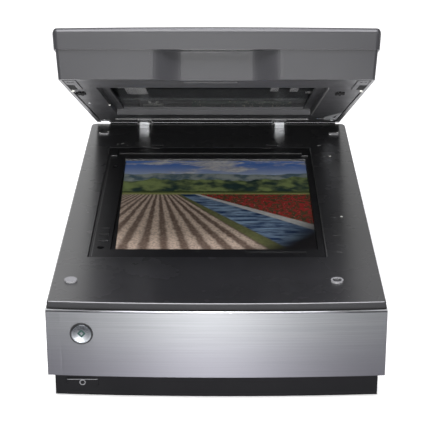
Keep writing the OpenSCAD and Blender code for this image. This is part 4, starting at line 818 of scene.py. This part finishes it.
def cover_ribs(form):
    """Ridges along the window's right edge and behind it, in a lighter grey than the underside: a painted
    highlight along each.
    """
    s0, s1 = WINDOW_ENDS
    low = UNDERSIDE - WINDOW_RIB_RISE
    slab(form, WINDOW_X, -(s0 + s1) / 2, WINDOW_RIB_W, s1 - s0, low, ROOT, 0, COVER_AT)
    s, x0, x1 = REAR_RIB
    low = UNDERSIDE - REAR_RIB_RISE
    slab(form, (x0 + x1) / 2, -s, x1 - x0, REAR_RIB_W, low, ROOT, 0, COVER_AT)


def lamp_bracket(form):
    """A bracket, two plugs and a ring on the window's inner face, under the lamp's path."""
    for x, s, width, length, thick in BRACKET_PLATES:
        slab(form, x, -s, width, length, GLASS_INNER, GLASS_INNER + thick, 0, COVER_AT)
    outer, inner = (ring_points(radius) for radius in BRACKET_RING)
    x, s = BRACKET_RING_AT
    frame_prism(form, outer, inner, 0, BRACKET_RING_THICK, COVER_AT @ shift(x, -s, GLASS_INNER))


white = materials["white_plastic"]
for name, material, body, slot, build in (
    ("deck_studs", white, "root", "white_plastic", deck_studs),
    ("deck_ticks", moulded("tick_grey", rgba(150), 0.5), "root", "pad_rubber", deck_ticks),
    ("deck_bars", moulded("bar_grey", rgba(70), 0.6), "root", "pad_rubber", deck_bars),
    ("rest_ends", white, "root", "white_plastic", rest_ends),
    ("guide_ridges", moulded("ridge_grey", rgba(70), 0.4), "root", "guide_black", guide_ridges),
    ("corner_stops", materials["seal_black"], "lid", "seal_black", corner_stops),
    ("stop_tips", white, "lid", "white_plastic", stop_tips),
    # painted highlight: the ribs are a lighter grey than the underside they stand on
    ("cover_ribs", moulded("rib_painted_highlight", rgba(100), 0.4), "lid", "lid_inner_grey", cover_ribs),
    ("lamp_bracket", moulded("bracket_grey", rgba(225), 0.5), "lid", "inner_plastic", lamp_bracket),
):
    mesh_piece(name, material, body, build)

# ---------------------------------------------------------------- stage and light

# places and lengths of the stage and the lights are in metres
FLOOR_SHADE = rgba(236)
FLOOR_SIDE = 14  # half its width
FLOOR_DROP = 0.0005  # how far it lies below the feet
FLOOR_GLOW = (0.5, 0.85)  # what the floor adds for rays that show the background, near and far
GLOW_REACH = (0.5, 1.6)  # between these distances it grows


def floor_material():
    """Pale diffuse paper, with a glow for background rays that leaves the object's shadow on it."""
    material = bpy.data.materials.new("floor")
    t = Tree(material, "ShaderNodeOutputMaterial")
    paper = t.node("ShaderNodeBsdfDiffuse")
    paper.inputs["Color"].default_value = FLOOR_SHADE
    far = t.node("ShaderNodeVectorMath", operation="LENGTH")
    t.join(t.coordinates["Object"], far.inputs[0])
    level = t.spread(far.outputs["Value"], *GLOW_REACH, *FLOOR_GLOW)
    glow = t.node("ShaderNodeEmission")
    t.join(t.math("MULTIPLY", t.background_rays(), level), glow.inputs["Strength"])
    both = t.node("ShaderNodeAddShader")
    t.join(paper.outputs[0], both.inputs[0])
    t.join(glow.outputs[0], both.inputs[1])
    t.join(both.outputs[0], t.surface)
    return material


def make_stage():
    mesh = bpy.data.meshes.new("floor")
    side = FLOOR_SIDE
    corners = [(-side, -side, 0), (side, -side, 0), (side, side, 0), (-side, side, 0)]
    mesh.from_pydata(corners, [], [(0, 1, 2, 3)])
    floor = bpy.data.objects.new("floor", mesh)
    floor.data.materials.append(floor_material())
    floor.location.z = -FLOOR_DROP
    bpy.context.scene.collection.objects.link(floor)


def area_light(name, at, target, size, power, tint=(1, 1, 1)):
    data = bpy.data.lights.new(name, "AREA")
    data.shape = "RECTANGLE"
    data.size, data.size_y = size
    data.energy = power
    data.color = tint
    light = bpy.data.objects.new(name, data)
    light.location = at
    light.visible_camera = False
    light.rotation_euler = (Vector(target) - Vector(at)).to_track_quat("-Z", "Y").to_euler()
    bpy.context.scene.collection.objects.link(light)


AMBIENT = 0.24
FRONT_SPAN = (0.1, 0.6)  # the world's Y directions over which its tone rises from front to back
FRONT_TONES = (0.1, 1.0)
RIGHT_SPAN = (-0.02, 0.16)  # the world's X directions over which its tone falls to the right
RIGHT_TONES = (1.0, 0.38)


def world_tone(t):
    """1 for the camera. For gloss and glass, less in front of the object and on its right."""
    split = t.node("ShaderNodeSeparateXYZ")
    t.join(t.coordinates["Generated"], split.inputs[0])
    behind = t.spread(split.outputs["Y"], *FRONT_SPAN, *FRONT_TONES)
    sideways = t.spread(split.outputs["X"], *RIGHT_SPAN, *RIGHT_TONES)
    camera_ray = t.node("ShaderNodeLightPath").outputs["Is Camera Ray"]
    return t.math("MAXIMUM", t.math("MULTIPLY", behind, sideways), camera_ray)


def make_world():
    """An even ambient light, with another tone for rays that show the background."""
    world = bpy.data.worlds.new("world")
    bpy.context.scene.world = world
    t = Tree(world, "ShaderNodeOutputWorld")
    ambient = t.node("ShaderNodeBackground")
    ambient.inputs["Strength"].default_value = AMBIENT
    ambient.inputs["Color"].default_value = (1, 1, 1, 1)
    seen = t.node("ShaderNodeBackground")
    t.join(world_tone(t), seen.inputs["Strength"])
    choose = t.node("ShaderNodeMixShader")
    t.join(t.background_rays(), choose.inputs[0])
    t.join(ambient.outputs[0], choose.inputs[1])
    t.join(seen.outputs[0], choose.inputs[2])
    t.join(choose.outputs[0], t.surface)


make_stage()
make_world()
# name, place, target, width and height, watts and tint
area_light("key", (-0.3, -1.0, 1.8), (0, -0.05, 0.1), (0.8, 0.6), 5)
area_light("top_box", (0, -0.55, 1.9), (0, -0.54, 0), (1.4, 0.9), 46, (0.95, 0.94, 1.0))
area_light("front_box", (-0.03, -2.05, 0.34), (0, -0.25, 0.08), (0.18, 0.62), 46)
area_light("lens_box", (-0.05, -1.74, 1.41), (0, -0.2, 0.3), (0.46, 0.36), 2.5)

bpy.context.scene.view_settings.view_transform = "Standard"
